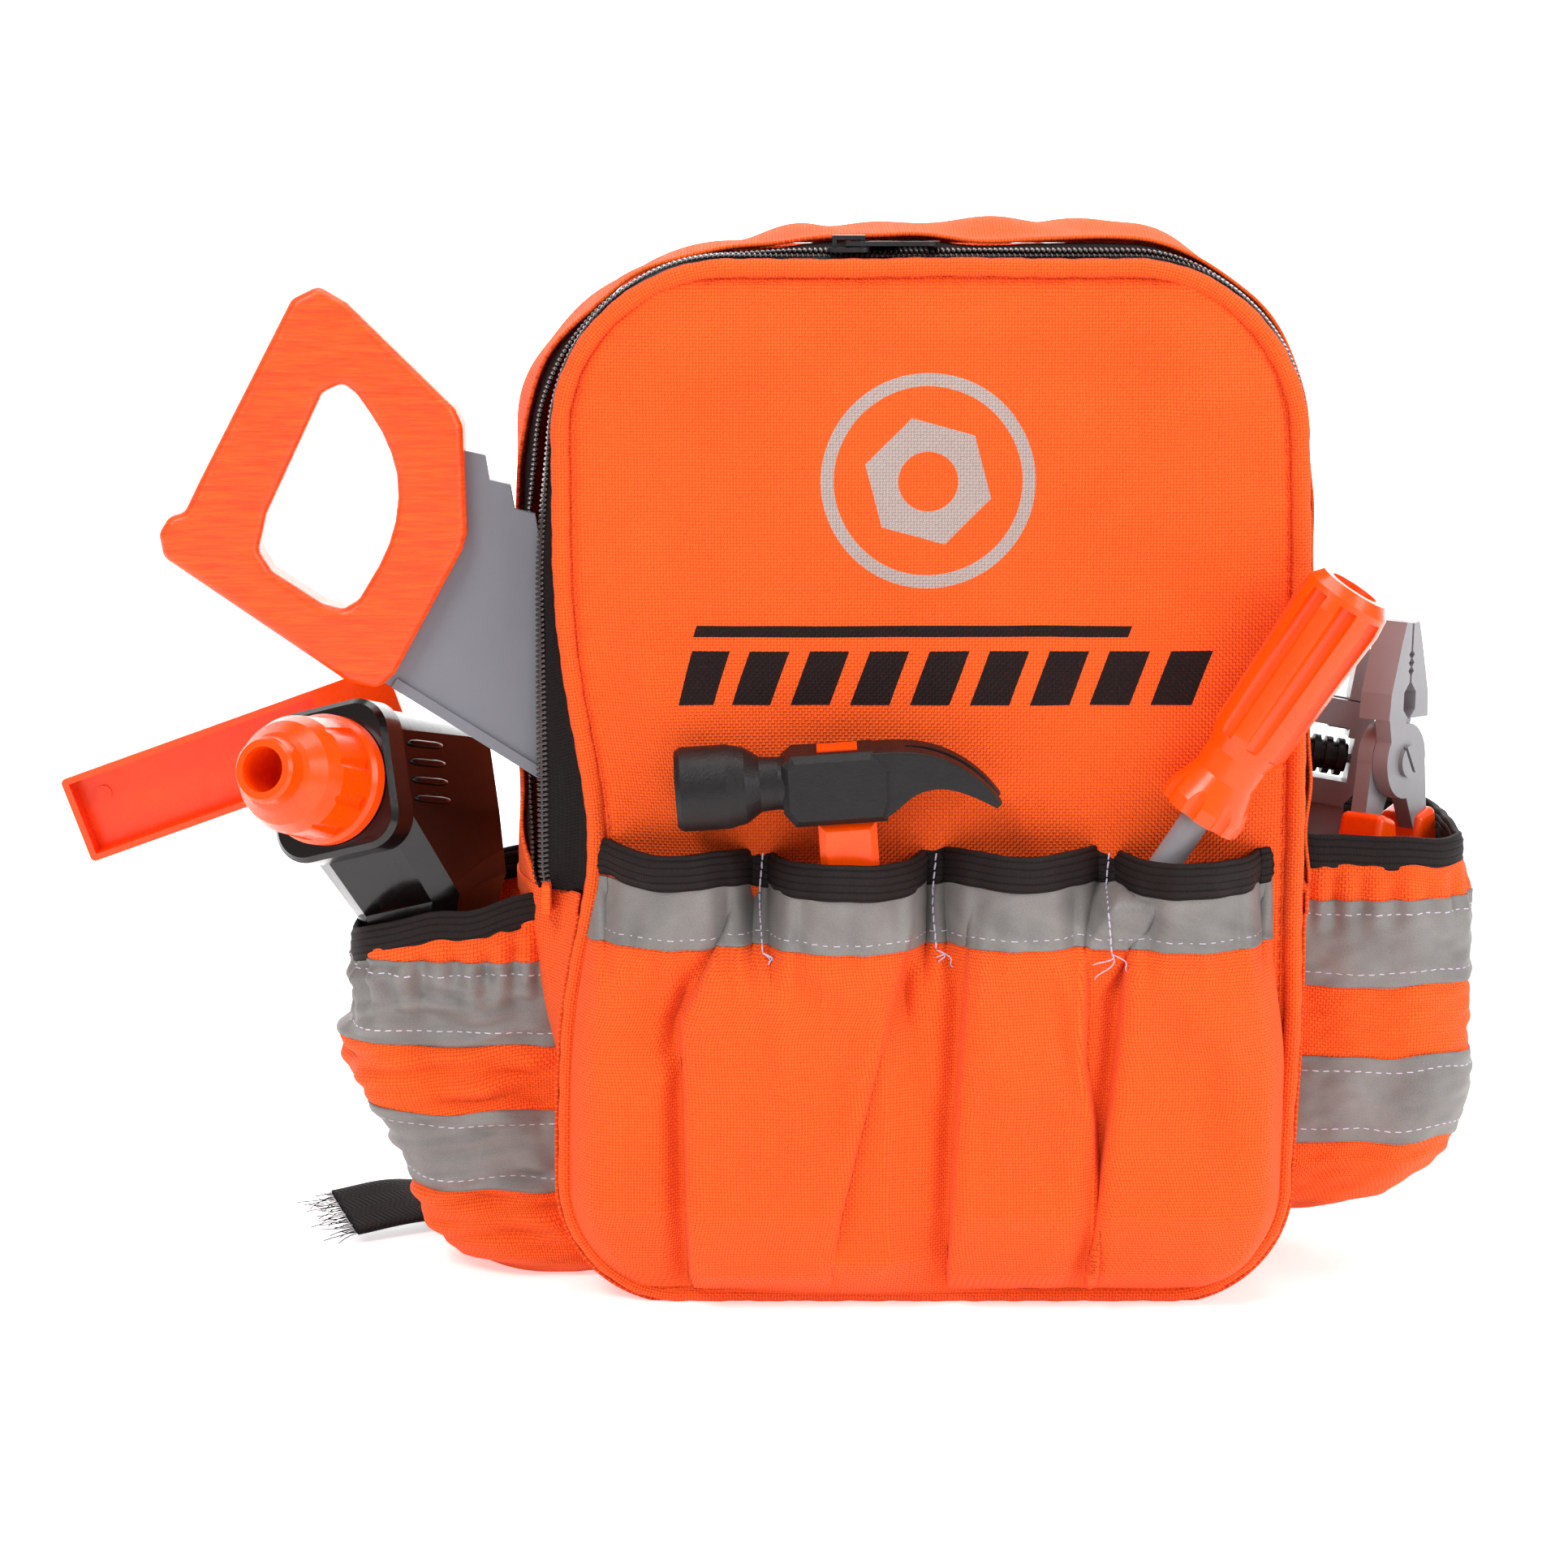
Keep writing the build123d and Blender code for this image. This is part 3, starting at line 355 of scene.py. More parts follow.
def badge(n, x, z):
    """Silver ring with a hexagon nut in it, and a row of slanted black bars under it."""
    cx, cz = -0.0003, 0.2338
    dx = n.m("SUBTRACT", x, cx)
    dz = n.m("SUBTRACT", z, cz)
    r = n.m("SQRT", n.m("ADD", n.m("MULTIPLY", dx, dx), n.m("MULTIPLY", dz, dz)))
    ring = n.m("LESS_THAN", n.m("ABSOLUTE", n.m("SUBTRACT", r, 0.0276)), 0.0018)
    turn = 0.26
    hexes = []
    for k in range(3):
        a = turn + k * math.pi / 3
        side = n.m("ADD", n.m("MULTIPLY", dx, math.cos(a)), n.m("MULTIPLY", dz, math.sin(a)))
        hexes.append(n.m("ABSOLUTE", side))
    hexd = n.m("MAXIMUM", n.m("MAXIMUM", hexes[0], hexes[1]), hexes[2])
    nut = n.m("MULTIPLY", n.m("LESS_THAN", hexd, 0.0155), n.m("GREATER_THAN", r, 0.0082))
    silver = n.m("MAXIMUM", ring, nut)
    # slanted bars
    slant = n.m("SUBTRACT", x, n.m("MULTIPLY", n.m("SUBTRACT", z, 0.172), 0.36))
    cell = n.m("FRACT", n.m("DIVIDE", n.m("ADD", slant, 0.5), 0.0165))
    bars = n.m("LESS_THAN", cell, 0.66)
    bars = n.m("MULTIPLY", bars, n.m("LESS_THAN", n.m("ABSOLUTE", n.m("SUBTRACT", slant, 0.0)), 0.0720))
    bars = n.m("MULTIPLY", bars, n.m("LESS_THAN", n.m("ABSOLUTE", n.m("SUBTRACT", z, 0.1795)), 0.0075))
    line = n.m("MULTIPLY", n.m("LESS_THAN", n.m("ABSOLUTE", n.m("SUBTRACT", z, 0.1925)), 0.0016),
               n.m("LESS_THAN", n.m("ABSOLUTE", n.m("ADD", slant, 0.012)), 0.060))
    black = n.m("MAXIMUM", bars, line)
    # Each ink's second colour is its painted shade, used in the weave hollows.
    return [(silver, rgb(176, 164, 160), rgb(150, 112, 98)), (black, rgb(26, 9, 7), rgb(8, 3, 3))]


def webbing_mat(name, light, dark, pitch=0.0016, ribs=0.0, rough=0.7):
    """Twill webbing; with ribs it is ridged elastic."""
    n = Net(name)
    u, v, uv = n.uv()
    if ribs:
        rib = n.m("ABSOLUTE", n.m("SINE", n.m("MULTIPLY", v, math.pi / ribs)))
        cross = n.m("ABSOLUTE", n.m("SINE", n.m("MULTIPLY", u, math.pi / 0.00062)))
        height = n.m("ADD", n.m("MULTIPLY", n.ramp(rib, 0.0, 0.55), 0.85), n.m("MULTIPLY", cross, 0.22))
    else:
        tri = n.m("ABSOLUTE", n.m("SUBTRACT", n.m("FRACT", n.m("DIVIDE", v, pitch * 5)), 0.5))
        diag = n.m("ADD", u, n.m("MULTIPLY", tri, pitch * 3))
        twill = n.m("ABSOLUTE", n.m("SINE", n.m("MULTIPLY", diag, math.pi / pitch)))
        thread = n.m("ABSOLUTE", n.m("SINE", n.m("MULTIPLY", v, math.pi / 0.0007)))
        height = n.m("ADD", n.m("MULTIPLY", twill, 0.7), n.m("MULTIPLY", thread, 0.3))
    fuzz = n.noise(uv, 1400, 2.0)
    # Partly painted shade: the rib and twill height also sets the colour, so the grooves take the dark colour; the fuzz
    # noise is the webbing's own uneven tone.
    tone = n.m("ADD", n.m("MULTIPLY", height, 0.6), n.m("MULTIPLY", fuzz, 0.5))
    n.put(n.b.inputs["Base Color"], n.mix(n.ramp(tone, 0.1, 1.0), dark, light))
    n.set(rough=rough, spec=0.16)
    n.bumps(height, 0.7, 0.0005)
    return n.mat


def reflective_mat():
    """Grey retro-reflective tape: fine glass-bead grain, soft creases and scuffs."""
    n = Net("reflective_tape")
    u, v, uv = n.uv()
    grain = n.noise(uv, 2600, 2.0)
    cloudy = n.noise(uv, 60, 4.0)
    tone = n.m("ADD", n.m("MULTIPLY", grain, 0.45), n.m("MULTIPLY", cloudy, 0.55))
    n.put(n.b.inputs["Base Color"], n.mix(n.ramp(tone, 0.3, 0.7), rgb(98, 95, 93), rgb(134, 130, 127)))
    n.set(rough=0.56, metal=0.15, spec=0.4)
    n.bumps(n.m("ADD", n.m("MULTIPLY", grain, 0.3), cloudy), 0.25, 0.0004)
    return n.mat


def plastic(name, light, dark, rough=0.25, coat=0.3, grain=0.0, sss=0.0, grain_scale=220, orange_peel=0.08):
    """Moulded plastic: slight flow variation, fine surface texture, scuffs in the gloss."""
    n = Net(name)
    x, y, z, p = n.obj()
    flow = n.noise(p, 14, 4.0)
    scuff = n.noise(p, 160, 5.0, 0.7)
    n.put(n.b.inputs["Base Color"], n.mix(n.ramp(flow, 0.3, 0.7), dark, light))
    rg = n.m("ADD", rough, n.m("MULTIPLY", n.ramp(scuff, 0.45, 0.8), 0.14))
    n.put(n.b.inputs["Roughness"], rg)
    n.set(coat=coat, coat_rough=0.12, spec=0.3)
    if sss:
        n.set(sss=sss, sss_scale=0.004)
    peel = n.noise(p, grain_scale, 3.0)
    fine = n.noise(p, 1500, 2.0)
    height = n.m("ADD", n.m("MULTIPLY", peel, 1.0), n.m("MULTIPLY", fine, grain))
    n.bumps(height, 0.35, 0.0002 + 0.0004 * orange_peel)
    return n.mat


def wood_plastic(name, along, light, dark):
    """Plastic moulded with a shallow wood grain running along one direction."""
    n = Net(name)
    tc = n.new("ShaderNodeTexCoord")
    mp = n.new("ShaderNodeMapping")
    n.put(mp.inputs["Vector"], tc.outputs["Object"])
    mp.inputs["Rotation"].default_value = (0, along, 0)
    mp.inputs["Scale"].default_value = (16, 60, 190)
    wood = n.noise(mp.outputs[0], 3.2, 6.0, 0.6)
    mp2 = n.new("ShaderNodeMapping")
    n.put(mp2.inputs["Vector"], tc.outputs["Object"])
    mp2.inputs["Rotation"].default_value = (0, along, 0)
    mp2.inputs["Scale"].default_value = (60, 200, 900)
    pores = n.noise(mp2.outputs[0], 2.0, 3.0, 0.6)
    g = n.m("ADD", n.m("MULTIPLY", wood, 0.7), n.m("MULTIPLY", n.ramp(pores, 0.35, 0.7), 0.3))
    n.put(n.b.inputs["Base Color"], n.mix(n.ramp(g, 0.3, 0.65), dark, light))
    n.set(rough=0.34, coat=0.15, coat_rough=0.2, spec=0.35, sss=0.06, sss_scale=0.004)
    n.bumps(g, 0.55, 0.0006)
    return n.mat


MAT = {
    # For the cloths and webbings the second colour is painted shade for the weave hollows, mixed with random tone; for
    # the plastics it is random flow or grain tone.
    "orange": fabric("orange_cloth", ORANGE, ORANGE_SHADE_AND_MOTTLE),
    "front": fabric("orange_cloth_printed", ORANGE, ORANGE_SHADE_AND_MOTTLE, print_mask=badge),
    "tape": reflective_mat(),
    "elastic": webbing_mat("black_elastic", rgb(34, 27, 26), rgb(8, 6, 6), ribs=0.0021),
    "webbing": webbing_mat("black_webbing", rgb(30, 27, 28), rgb(8, 7, 8)),
    "zip_cloth": webbing_mat("zip_cloth", rgb(26, 20, 20), rgb(7, 5, 5), pitch=0.0009),
    "coil": plastic("zip_coil_plastic", rgb(52, 44, 43), rgb(34, 27, 27), rough=0.22, coat=0.5),
    "enamel": plastic("black_enamel", rgb(40, 38, 42), rgb(22, 20, 22), rough=0.22, coat=0.5),
    "thread": plastic("pale_thread", rgb(214, 204, 214), rgb(176, 160, 190), rough=0.6, coat=0.0),
    "dark_thread": plastic("orange_thread", rgb(236, 84, 30), rgb(205, 60, 20), rough=0.6, coat=0.0),
    "orange_plastic": plastic("orange_plastic", rgb(252, 78, 0), rgb(244, 66, 0), rough=0.26, coat=0.12, sss=0.08),
    "saw_wood": wood_plastic("orange_wood_grain_plastic", math.radians(58), rgb(250, 80, 0), rgb(232, 58, 0)),
    "blade": plastic("grey_plastic", rgb(112, 112, 119), rgb(102, 101, 108), rough=0.38, coat=0.05, grain=0.4),
    "jaw": plastic("pale_grey_plastic", rgb(140, 138, 141), rgb(122, 120, 124), rough=0.36, coat=0.08, grain=0.3),
    "hammer": plastic("satin_black_plastic", rgb(17, 13, 13), rgb(9, 7, 7), rough=0.46, coat=0.02, grain=1.0, orange_peel=1.0),
    "drill": plastic("gloss_black_plastic", rgb(20, 14, 14), rgb(13, 9, 9), rough=0.18, coat=0.3),
    "steel": plastic("plated_steel", rgb(190, 190, 190), rgb(160, 160, 160), rough=0.25),
    "battery": plastic("battery_sleeve", rgb(60, 70, 60), rgb(40, 45, 40), rough=0.3),
    "pad": fabric("strap_cloth", rgb(34, 31, 33), rgb(10, 9, 10)),
}


def paint(names, key):
    for name in names.split():
        slots = nodes[name].data.materials
        for k in range(len(slots)):
            slots[k] = MAT[key]
        if not len(slots):
            slots.append(MAT[key])


paint("saw_handle", "saw_wood")
paint("square_stock screwdriver_handle hammer_handle pliers_front_grip pliers_back_grip drill_chuck drill_trigger", "orange_plastic")
paint("saw_blade square_blade", "blade")
paint("screwdriver_shaft pliers_front_half pliers_back_half pliers_pivot_screw wrench_body wrench_jaw", "jaw")
paint("wrench_worm strap_adjusters", "hammer")
paint("wrench_worm_pin drill_spindle drill_motor drill_screws", "steel")
paint("hammer_head", "hammer")
paint("drill_left_shell drill_right_shell drill_battery_cover drill_switch", "drill")
paint("drill_batteries", "battery")
paint("zip_slider zip_pull", "enamel")

# ------------------------------------------------------------------ the bag's outline

HALF_W, LOW, HIGH, TOP_R, FOOT_R = 101.0, 2.5, 291.5, 46.0, 32.0
FRONT, BACK = -47.0, 47.0


def outline(count=700):
    """Rounded outline from the bottom middle, up the left side and over the top: x, z, normal x, normal z, length."""
    pts = [(0.0, LOW)]

    def arc(cx, cz, r, a, b):
        for t in np.linspace(a, b, 60):
            pts.append((cx + r * math.cos(t), cz + r * math.sin(t)))

    arc(-HALF_W + FOOT_R, LOW + FOOT_R, FOOT_R, -math.pi / 2, -math.pi)
    arc(-HALF_W + TOP_R, HIGH - TOP_R, TOP_R, math.pi, math.pi / 2)
    arc(HALF_W - TOP_R, HIGH - TOP_R, TOP_R, math.pi / 2, 0)
    arc(HALF_W - FOOT_R, LOW + FOOT_R, FOOT_R, 0, -math.pi / 2)
    pts.append((0.0, LOW))
    p = np.array(pts)
    s = np.concatenate([[0], np.cumsum(np.hypot(*np.diff(p, axis=0).T))])
    at = np.linspace(0, s[-1], count + 1)
    x = np.interp(at, s, p[:, 0])
    z = np.interp(at, s, p[:, 1])
    tx = np.gradient(x, at)
    tz = np.gradient(z, at)
    tx[0] = tx[-1] = -1.0
    tz[0] = tz[-1] = 0.0
    k = np.hypot(tx, tz)
    return x, z, -tz / k, tx / k, at


OX, OZ, NX, NZ, OS = outline()


def half_width(z):
    """Half width of the outline at this height."""
    z = np.clip(z, LOW, HIGH)
    w = np.full(np.shape(z), HALF_W)
    a = np.clip((LOW + FOOT_R) - z, 0, FOOT_R)
    w = w - FOOT_R + np.sqrt(FOOT_R**2 - a**2)
    b = np.clip(z - (HIGH - TOP_R), 0, TOP_R)
    return w - TOP_R + np.sqrt(TOP_R**2 - b**2)


def soft(p):
    """The stuffed bag's sag: the front left edge is drawn in beside the open zip."""
    p = np.array(p, float)
    x, y, z = p[..., 0], p[..., 1], p[..., 2]
    front = smooth((-y - 27) / 17)
    pinch = 9.0 * bump(z, 133, 40) * smooth((-x - 45) / 45) * front
    lean = 1.8 * smooth((x - 50) / 50) * smooth((z - 30) / 60) * smooth((270 - z) / 60)
    p[..., 0] = x + pinch + lean
    return p


def side_bulge(x, z, y):
    """How far the gusset stands out beyond its seams."""
    mid = np.clip(np.sin(np.pi * np.clip((y + 46) / 91, 0, 1)), 0, 1) ** 0.75
    left = 11.0 * smooth((-x - 60) / 40) * smooth((z - 60) / 50) * smooth((292 - z) / 50)
    right = 2.2 * smooth((x - 60) / 40) * smooth((z - 30) / 70) * smooth((292 - z) / 50)
    top = 6.5 * smooth((z - 270) / 20) * smooth((x + 62) / 30) * smooth((88 - x) / 30)
    return mid * (left + right + top)


def gusset_point(i, y, out=2.5):
    """Point of the side band: outline index i (array), depth y (array)."""
    x, z = OX[i], OZ[i]
    b = side_bulge(x, z, y)
    wr = waves(OS[i], y, 34.0, 11) * 0.9 + waves(OS[i], y, 90.0, 12) * 1.2
    wr = wr * smooth((y + 46) / 14) * smooth((45 - y) / 14) * np.where(z < 12, 0.0, 1.0)
    o = out + b + wr
    px = x + NX[i] * o
    pz = z + NZ[i] * o
    return soft(np.stack(np.broadcast_arrays(px, y, pz), axis=-1))


# ------------------------------------------------------------------ front and back panels

zz = LOW + (HIGH - LOW) * (0.5 - 0.5 * np.cos(np.linspace(0.06, math.pi - 0.06, 190)))
zz = np.interp(np.linspace(0, 1, 190), np.linspace(0, 1, 190), 0.5 * zz + 0.5 * np.linspace(zz[0], zz[-1], 190))
uu = np.linspace(-1, 1, 181)
U, Z = np.meshgrid(uu, zz)
W = half_width(Z)
X = U * W


def front_relief(x, z):
    """Forward puff and folds of the front panel, in mm."""
    w = half_width(z)
    edge = smooth((w - np.abs(x)) / 26) * smooth((HIGH - z) / 26) * smooth((z - LOW) / 26)
    puff = 3.4 * edge * smooth((z - 95) / 60) + 0.5 * edge
    folds = 2.6 * ridge(x, z, (88, 262), (58, 246), 7) - 2.6 * ridge(x, z, (86, 250), (97, 205), 5)
    folds = folds + 2.0 * ridge(x, z, (98, 232), (84, 170), 9) - 1.8 * ridge(x, z, (70, 262), (-30, 268), 9)
    folds = folds - 2.2 * ridge(x, z, (-60, 262), (-86, 205), 12) + 1.8 * ridge(x, z, (-78, 240), (-82, 150), 8)
    folds = folds - 1.6 * ridge(x, z, (62, 215), (96, 178), 8) + 1.6 * ridge(x, z, (40, 165), (84, 150), 12)
    folds = folds + 1.4 * ridge(x, z, (-84, 176), (-40, 150), 10) - 1.2 * ridge(x, z, (-80, 160), (-52, 140), 7)
    ripple = 0.9 * waves(x, z, 70.0, 3) + 0.22 * waves(x, z, 16.0, 4)
    rim = np.minimum(w - np.abs(x), np.minimum(HIGH - z, z - LOW))
    seam = 0.35 * waves(x, z, 9.0, 5) * smooth((16 - rim) / 12) * smooth((rim - 2) / 4)
    groove = -1.7 * (1 - smooth((rim - 2.2) / 4.5))
    return puff + (folds + ripple) * edge + seam + groove


pts = soft(np.stack([X, -47.4 - front_relief(X, Z), Z], axis=-1))
panel = grid("front_panel_cloth", pts, np.stack([X, Z], axis=-1), MAT["front"])
thicken(panel, 1.1, 1.0)
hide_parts("front_panel")

BZ = np.linspace(LOW, HIGH, 120)
BU, BZ = np.meshgrid(np.linspace(-1, 1, 121), BZ)
BW = half_width(BZ)
BX = BU * BW
pad = smooth((BW - np.abs(BX)) / 20) * smooth((HIGH - BZ) / 22) * smooth((BZ - LOW) / 22)
pts = np.stack([BX, 47.2 + 1.4 * pad + 0.4 * pad * waves(BX, BZ, 50, 21), BZ], axis=-1)
back = grid("back_panel_cloth", pts, np.stack([BX, BZ], axis=-1), MAT["orange"], flip=True)
thicken(back, 1.4, 1.0)
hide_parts("back_panel")

# ------------------------------------------------------------------ piping

for name, y, sign in (("front_piping", FRONT, -1), ("back_piping", BACK, 1)):
    n = len(OX) - 1
    wob = 0.35 * np.sin(OS[:-1] / 23) + 0.25 * np.sin(OS[:-1] / 9.1 + 1)
    path = np.stack([OX[:-1] + NX[:-1] * wob * 0.5, np.full(n, y), OZ[:-1] + NZ[:-1] * (wob * 0.5) * (OZ[:-1] > 6)], axis=1)
    if sign < 0:
        path = soft(path)
    radius = 2.6 + 0.1 * np.sin(OS[:-1] / 2.1 + 1.5 * np.sin(OS[:-1] / 13)) + 0.06 * np.sin(OS[:-1] / 0.9)
    ob = tube(name + "_cord", path, radius, MAT["orange"], sides=16, closed=True)
    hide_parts(name)

# stitches in the seam allowance beside the front piping, 3.6 mm in from the seam
ring = np.stack([OX[:-1], np.full(len(OX) - 1, FRONT - 0.6), OZ[:-1]], axis=1)
inner = ring - np.stack([NX[:-1], np.zeros(len(OX) - 1), NZ[:-1]], axis=1) * 3.6
stitch_path = soft(inner + [0, -0.25, 0])
nn = np.tile([0.0, -1.0, 0.0], (len(stitch_path), 1))
stitches("front_seam_stitches", stitch_path, nn, MAT["dark_thread"], step=3.2, length=2.3, radius=0.2, slot="front_piping")

# ------------------------------------------------------------------ side bands

ZIP_LOW = 118.0
left_end = int(np.argmin(np.abs(OZ[:350] - ZIP_LOW) + (OX[:350] > -90) * 1e3))
right_end = len(OX) - 1 - left_end
upper = np.arange(left_end, right_end + 1)
lower = np.concatenate([np.arange(right_end, len(OX) - 1), np.arange(0, left_end + 1)])
length_low = np.cumsum(np.full(len(lower), OS[1]))
ycols = np.linspace(-46.8, 44.6, 62)
I, Y = np.meshgrid(lower, ycols, indexing="ij")
pts = gusset_point(I, Y)
pts[..., 2] = np.maximum(pts[..., 2], 0.05)
hem = np.minimum(length_low, length_low[::-1])[:, None]
pts = pts + np.stack([np.sign(pts[..., 0]) * 0.6 * (hem < 7), np.zeros(pts.shape[:2]), np.zeros(pts.shape[:2])], axis=-1)
low = grid("lower_gusset_cloth", pts, np.stack(np.broadcast_arrays(length_low[:, None], Y), axis=-1), MAT["orange"],
           flip=True)
thicken(low, 1.0, 1.0)
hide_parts("lower_gusset")

# open side of the zip: how far back the rear tape's edge lies
GAPE_Z = [118, 128, 140, 180, 215, 248, 270, 280]
GAPE_Y = [-37.2, -33.0, -28.0, -19.0, -18.5, -27.0, -34.5, -36.8]
rear_edge = np.full(len(OX), -37.2)
is_left = (OX < 0) & (OZ > ZIP_LOW - 1)
rear_edge[is_left] = np.interp(OZ[is_left], GAPE_Z, GAPE_Y)
on_top = (OX > -56) & (OZ > 280)
rear_edge[on_top] = np.interp(OX[on_top], [-56, -40, -24], [-36.6, -37.0, -37.3])
tapers = smooth((OX + 20) / 8)

V, _ = np.meshgrid(np.linspace(0, 1, 54), upper)
I = np.broadcast_to(upper[:, None], V.shape)
Y = (rear_edge[I] + 5.6) * (1 - V) + 44.6 * V
pts = gusset_point(I, Y)
roll = 1.1 * np.exp(-((V * 80) ** 2) / 18.0)
pts[..., 0] += NX[I] * roll
pts[..., 2] += NZ[I] * roll
up = grid("upper_gusset_cloth", pts, np.stack([OS[I], Y], axis=-1), MAT["orange"], flip=True)
thicken(up, 1.0, 1.0)
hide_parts("upper_gusset")
edge_path = gusset_point(upper, rear_edge[upper] + 7.2, 3.3)
edge_norm = np.stack([NX[upper], np.zeros(len(upper)), NZ[upper]], axis=1)
stitches("zip_seam_stitches", edge_path, edge_norm, MAT["dark_thread"], slot="upper_gusset", radius=0.2, lift=0.35)


# ------------------------------------------------------------------ the zip

def zip_out(i):
    """How far the coil line stands out of the outline."""
    x, z = OX[i], OZ[i]
    return 2.3 + 3.6 * smooth((-x - 70) / 30) * smooth((z - 108) / 16) * smooth((262 - z) / 60)


def coil_line(i, rear):
    y = rear_edge[i] if rear else np.full(len(i), -38.4)
    o = zip_out(i)
    if rear:
        o = o + 0.5 * side_bulge(OX[i], OZ[i], y)
    return np.stack([OX[i] + NX[i] * o, y, OZ[i] + NZ[i] * o], axis=1)


def front_seam_line(i):
    return soft(np.stack([OX[i] + NX[i] * 1.2, np.full(len(i), -45.2), OZ[i] + NZ[i] * 1.2], axis=1))


a = front_seam_line(upper)
b = coil_line(upper, False)
t = np.linspace(0, 1, 12)[None, :, None]
pts = a[:, None] * (1 - t) + b[:, None] * t
bowl = np.sin(np.pi * t[..., 0]) * (0.6 + 0.4 * np.sin(OS[upper] / 7.0))[:, None]
pts[..., 0] -= NX[upper][:, None] * bowl
pts[..., 2] -= NZ[upper][:, None] * bowl
uv = np.stack(np.broadcast_arrays(OS[upper][:, None], t[..., 0] * 8), axis=-1)
ft = grid("zip_tape_front_cloth", pts, uv, MAT["zip_cloth"], flip=True)
thicken(ft, 0.8, 1.0)
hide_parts("zip_tape_front")

a = coil_line(upper, True)
b = gusset_point(upper, rear_edge[upper] + 7.5, 1.6)
pts = a[:, None] * (1 - t) + b[:, None] * t
uv = np.stack(np.broadcast_arrays(OS[upper][:, None], t[..., 0] * 8), axis=-1)
rt = grid("zip_tape_rear_cloth", pts, uv, MAT["zip_cloth"], flip=True)
thicken(rt, 0.8, 1.0)
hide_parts("zip_tape_back")

PITCH = 1.45
for rear, name in ((False, "zip_coil_front"), (True, "zip_coil_back")):
    line = coil_line(upper, rear)
    seg = np.concatenate([[0], np.cumsum(np.linalg.norm(np.diff(line, axis=0), axis=1))])
    at = np.arange(0.8 + (PITCH / 2 if rear else 0), seg[-1] - 0.5, PITCH)
    o = np.stack([np.interp(at, seg, line[:, k]) for k in range(3)], axis=1)
    tx = np.stack([np.interp(at, seg, frames_along(line)[:, k]) for k in range(3)], axis=1)
    nrm = np.stack([np.interp(at, seg, v) for v in (NX[upper], np.zeros(len(upper)), NZ[upper])], axis=1)
    root = gusset_point(upper, rear_edge[upper] + 7.5, 1.6) if rear else front_seam_line(upper)
    lie = np.stack([np.interp(at, seg, (line - root)[:, k]) for k in range(3)], axis=1)
    places = []
    for p, tt, nn_, c in zip(o, tx, nrm, lie):
        c = c / np.linalg.norm(c)
        q = c + tt * (0.16 if rear else -0.16)
        q = q / np.linalg.norm(q)
        m = np.cross(tt, q)
        m = m * np.sign(m.dot(nn_ + np.array([0, -0.4, 0]))) / np.linalg.norm(m)
        places.append((p + m * 0.75, q, np.cross(m, q), m))
    teeth = many(name + "_teeth", capsule(4.0, 0.6, 7), places, MAT["coil"])
    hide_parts(name)
    cord = line + np.stack([NX[upper], np.zeros(len(upper)), NZ[upper]], axis=1) * 0.55
    cord[:, 1] += 0.75 if rear else -0.75
    tube(name + "_cord", cord, 0.42, MAT["coil"], sides=8)


def cloth_block(name, centre, sizes, material, replaces=None):
    """Small folded piece of cloth: a softened box with bowed faces."""
    bm = bmesh.new()
    bmesh.ops.create_cube(bm, size=1.0)
    bmesh.ops.subdivide_edges(bm, edges=bm.edges[:], cuts=5, use_grid_fill=True)
    for v in bm.verts:
        c = v.co
        k = 1 - 0.14 * (abs(c.y * 2) ** 6 + abs(c.z * 2) ** 6)
        v.co = Vector((c.x * k * sizes[0], c.y * (1 - 0.05 * abs(c.z * 2) ** 4) * sizes[1], c.z * sizes[2]))
        v.co.x += 0.18 * math.sin(v.co.y * 1.1) * math.cos(v.co.z * 0.9)
        v.co = (v.co + Vector(centre)) * MM
    me = bpy.data.meshes.new(name)
    bm.to_mesh(me)
    bm.free()
    layer = me.uv_layers.new(name="UVMap")
    for loop in me.loops:
        co = me.vertices[loop.vertex_index].co
        layer.data[loop.index].uv = (co.y, co.z)
    ob = finish_object(name, me, material, "bag")
    if replaces:
        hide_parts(replaces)
    return ob


cloth_block("zip_end_tab_left", (-106.3, -38.5, 115.5), (2.6, 12.5, 9.0), MAT["orange"], "zip_end_tabs")
cloth_block("zip_end_tab_right", (105.6, -38.0, 115.5), (2.2, 12.5, 9.0), MAT["orange"])

# ------------------------------------------------------------------ front pouches

DIV = [-92.0, -46.0, 2.0, 50.0, 95.0]
ARCH = [20.0, 28.5, 21.0, 24.0]
POWER = [0.8, 0.55, 0.8, 0.6]


def poly(z, pairs):
    zs = [p[1] for p in pairs][::-1]
    xs = [p[0] for p in pairs][::-1]
    return np.interp(z, zs, xs)


def over_rod(x, z, a, b, radius, slope, wide):
    """Depth that cloth needs to pass in front of a rod from a to b, easing away to its sides."""
    a, b = np.array(a, float), np.array(b, float)
    dx, dz = b[0] - a[0], b[2] - a[2]
    t = np.clip(((x - a[0]) * dx + (z - a[2]) * dz) / (dx * dx + dz * dz), 0, 1)
    off = np.hypot(x - a[0] - t * dx, z - a[2] - t * dz)
    front = -(a[1] + t * (b[1] - a[1])) - 47.4
    steep = slope + 1.9 * smooth((z - 74) / 34)
    return front + radius - steep * np.maximum(off - wide, 0)


def soft_max(a, b, k=2.6):
    return 0.5 * (a + b + np.sqrt((a - b) ** 2 + k * k))


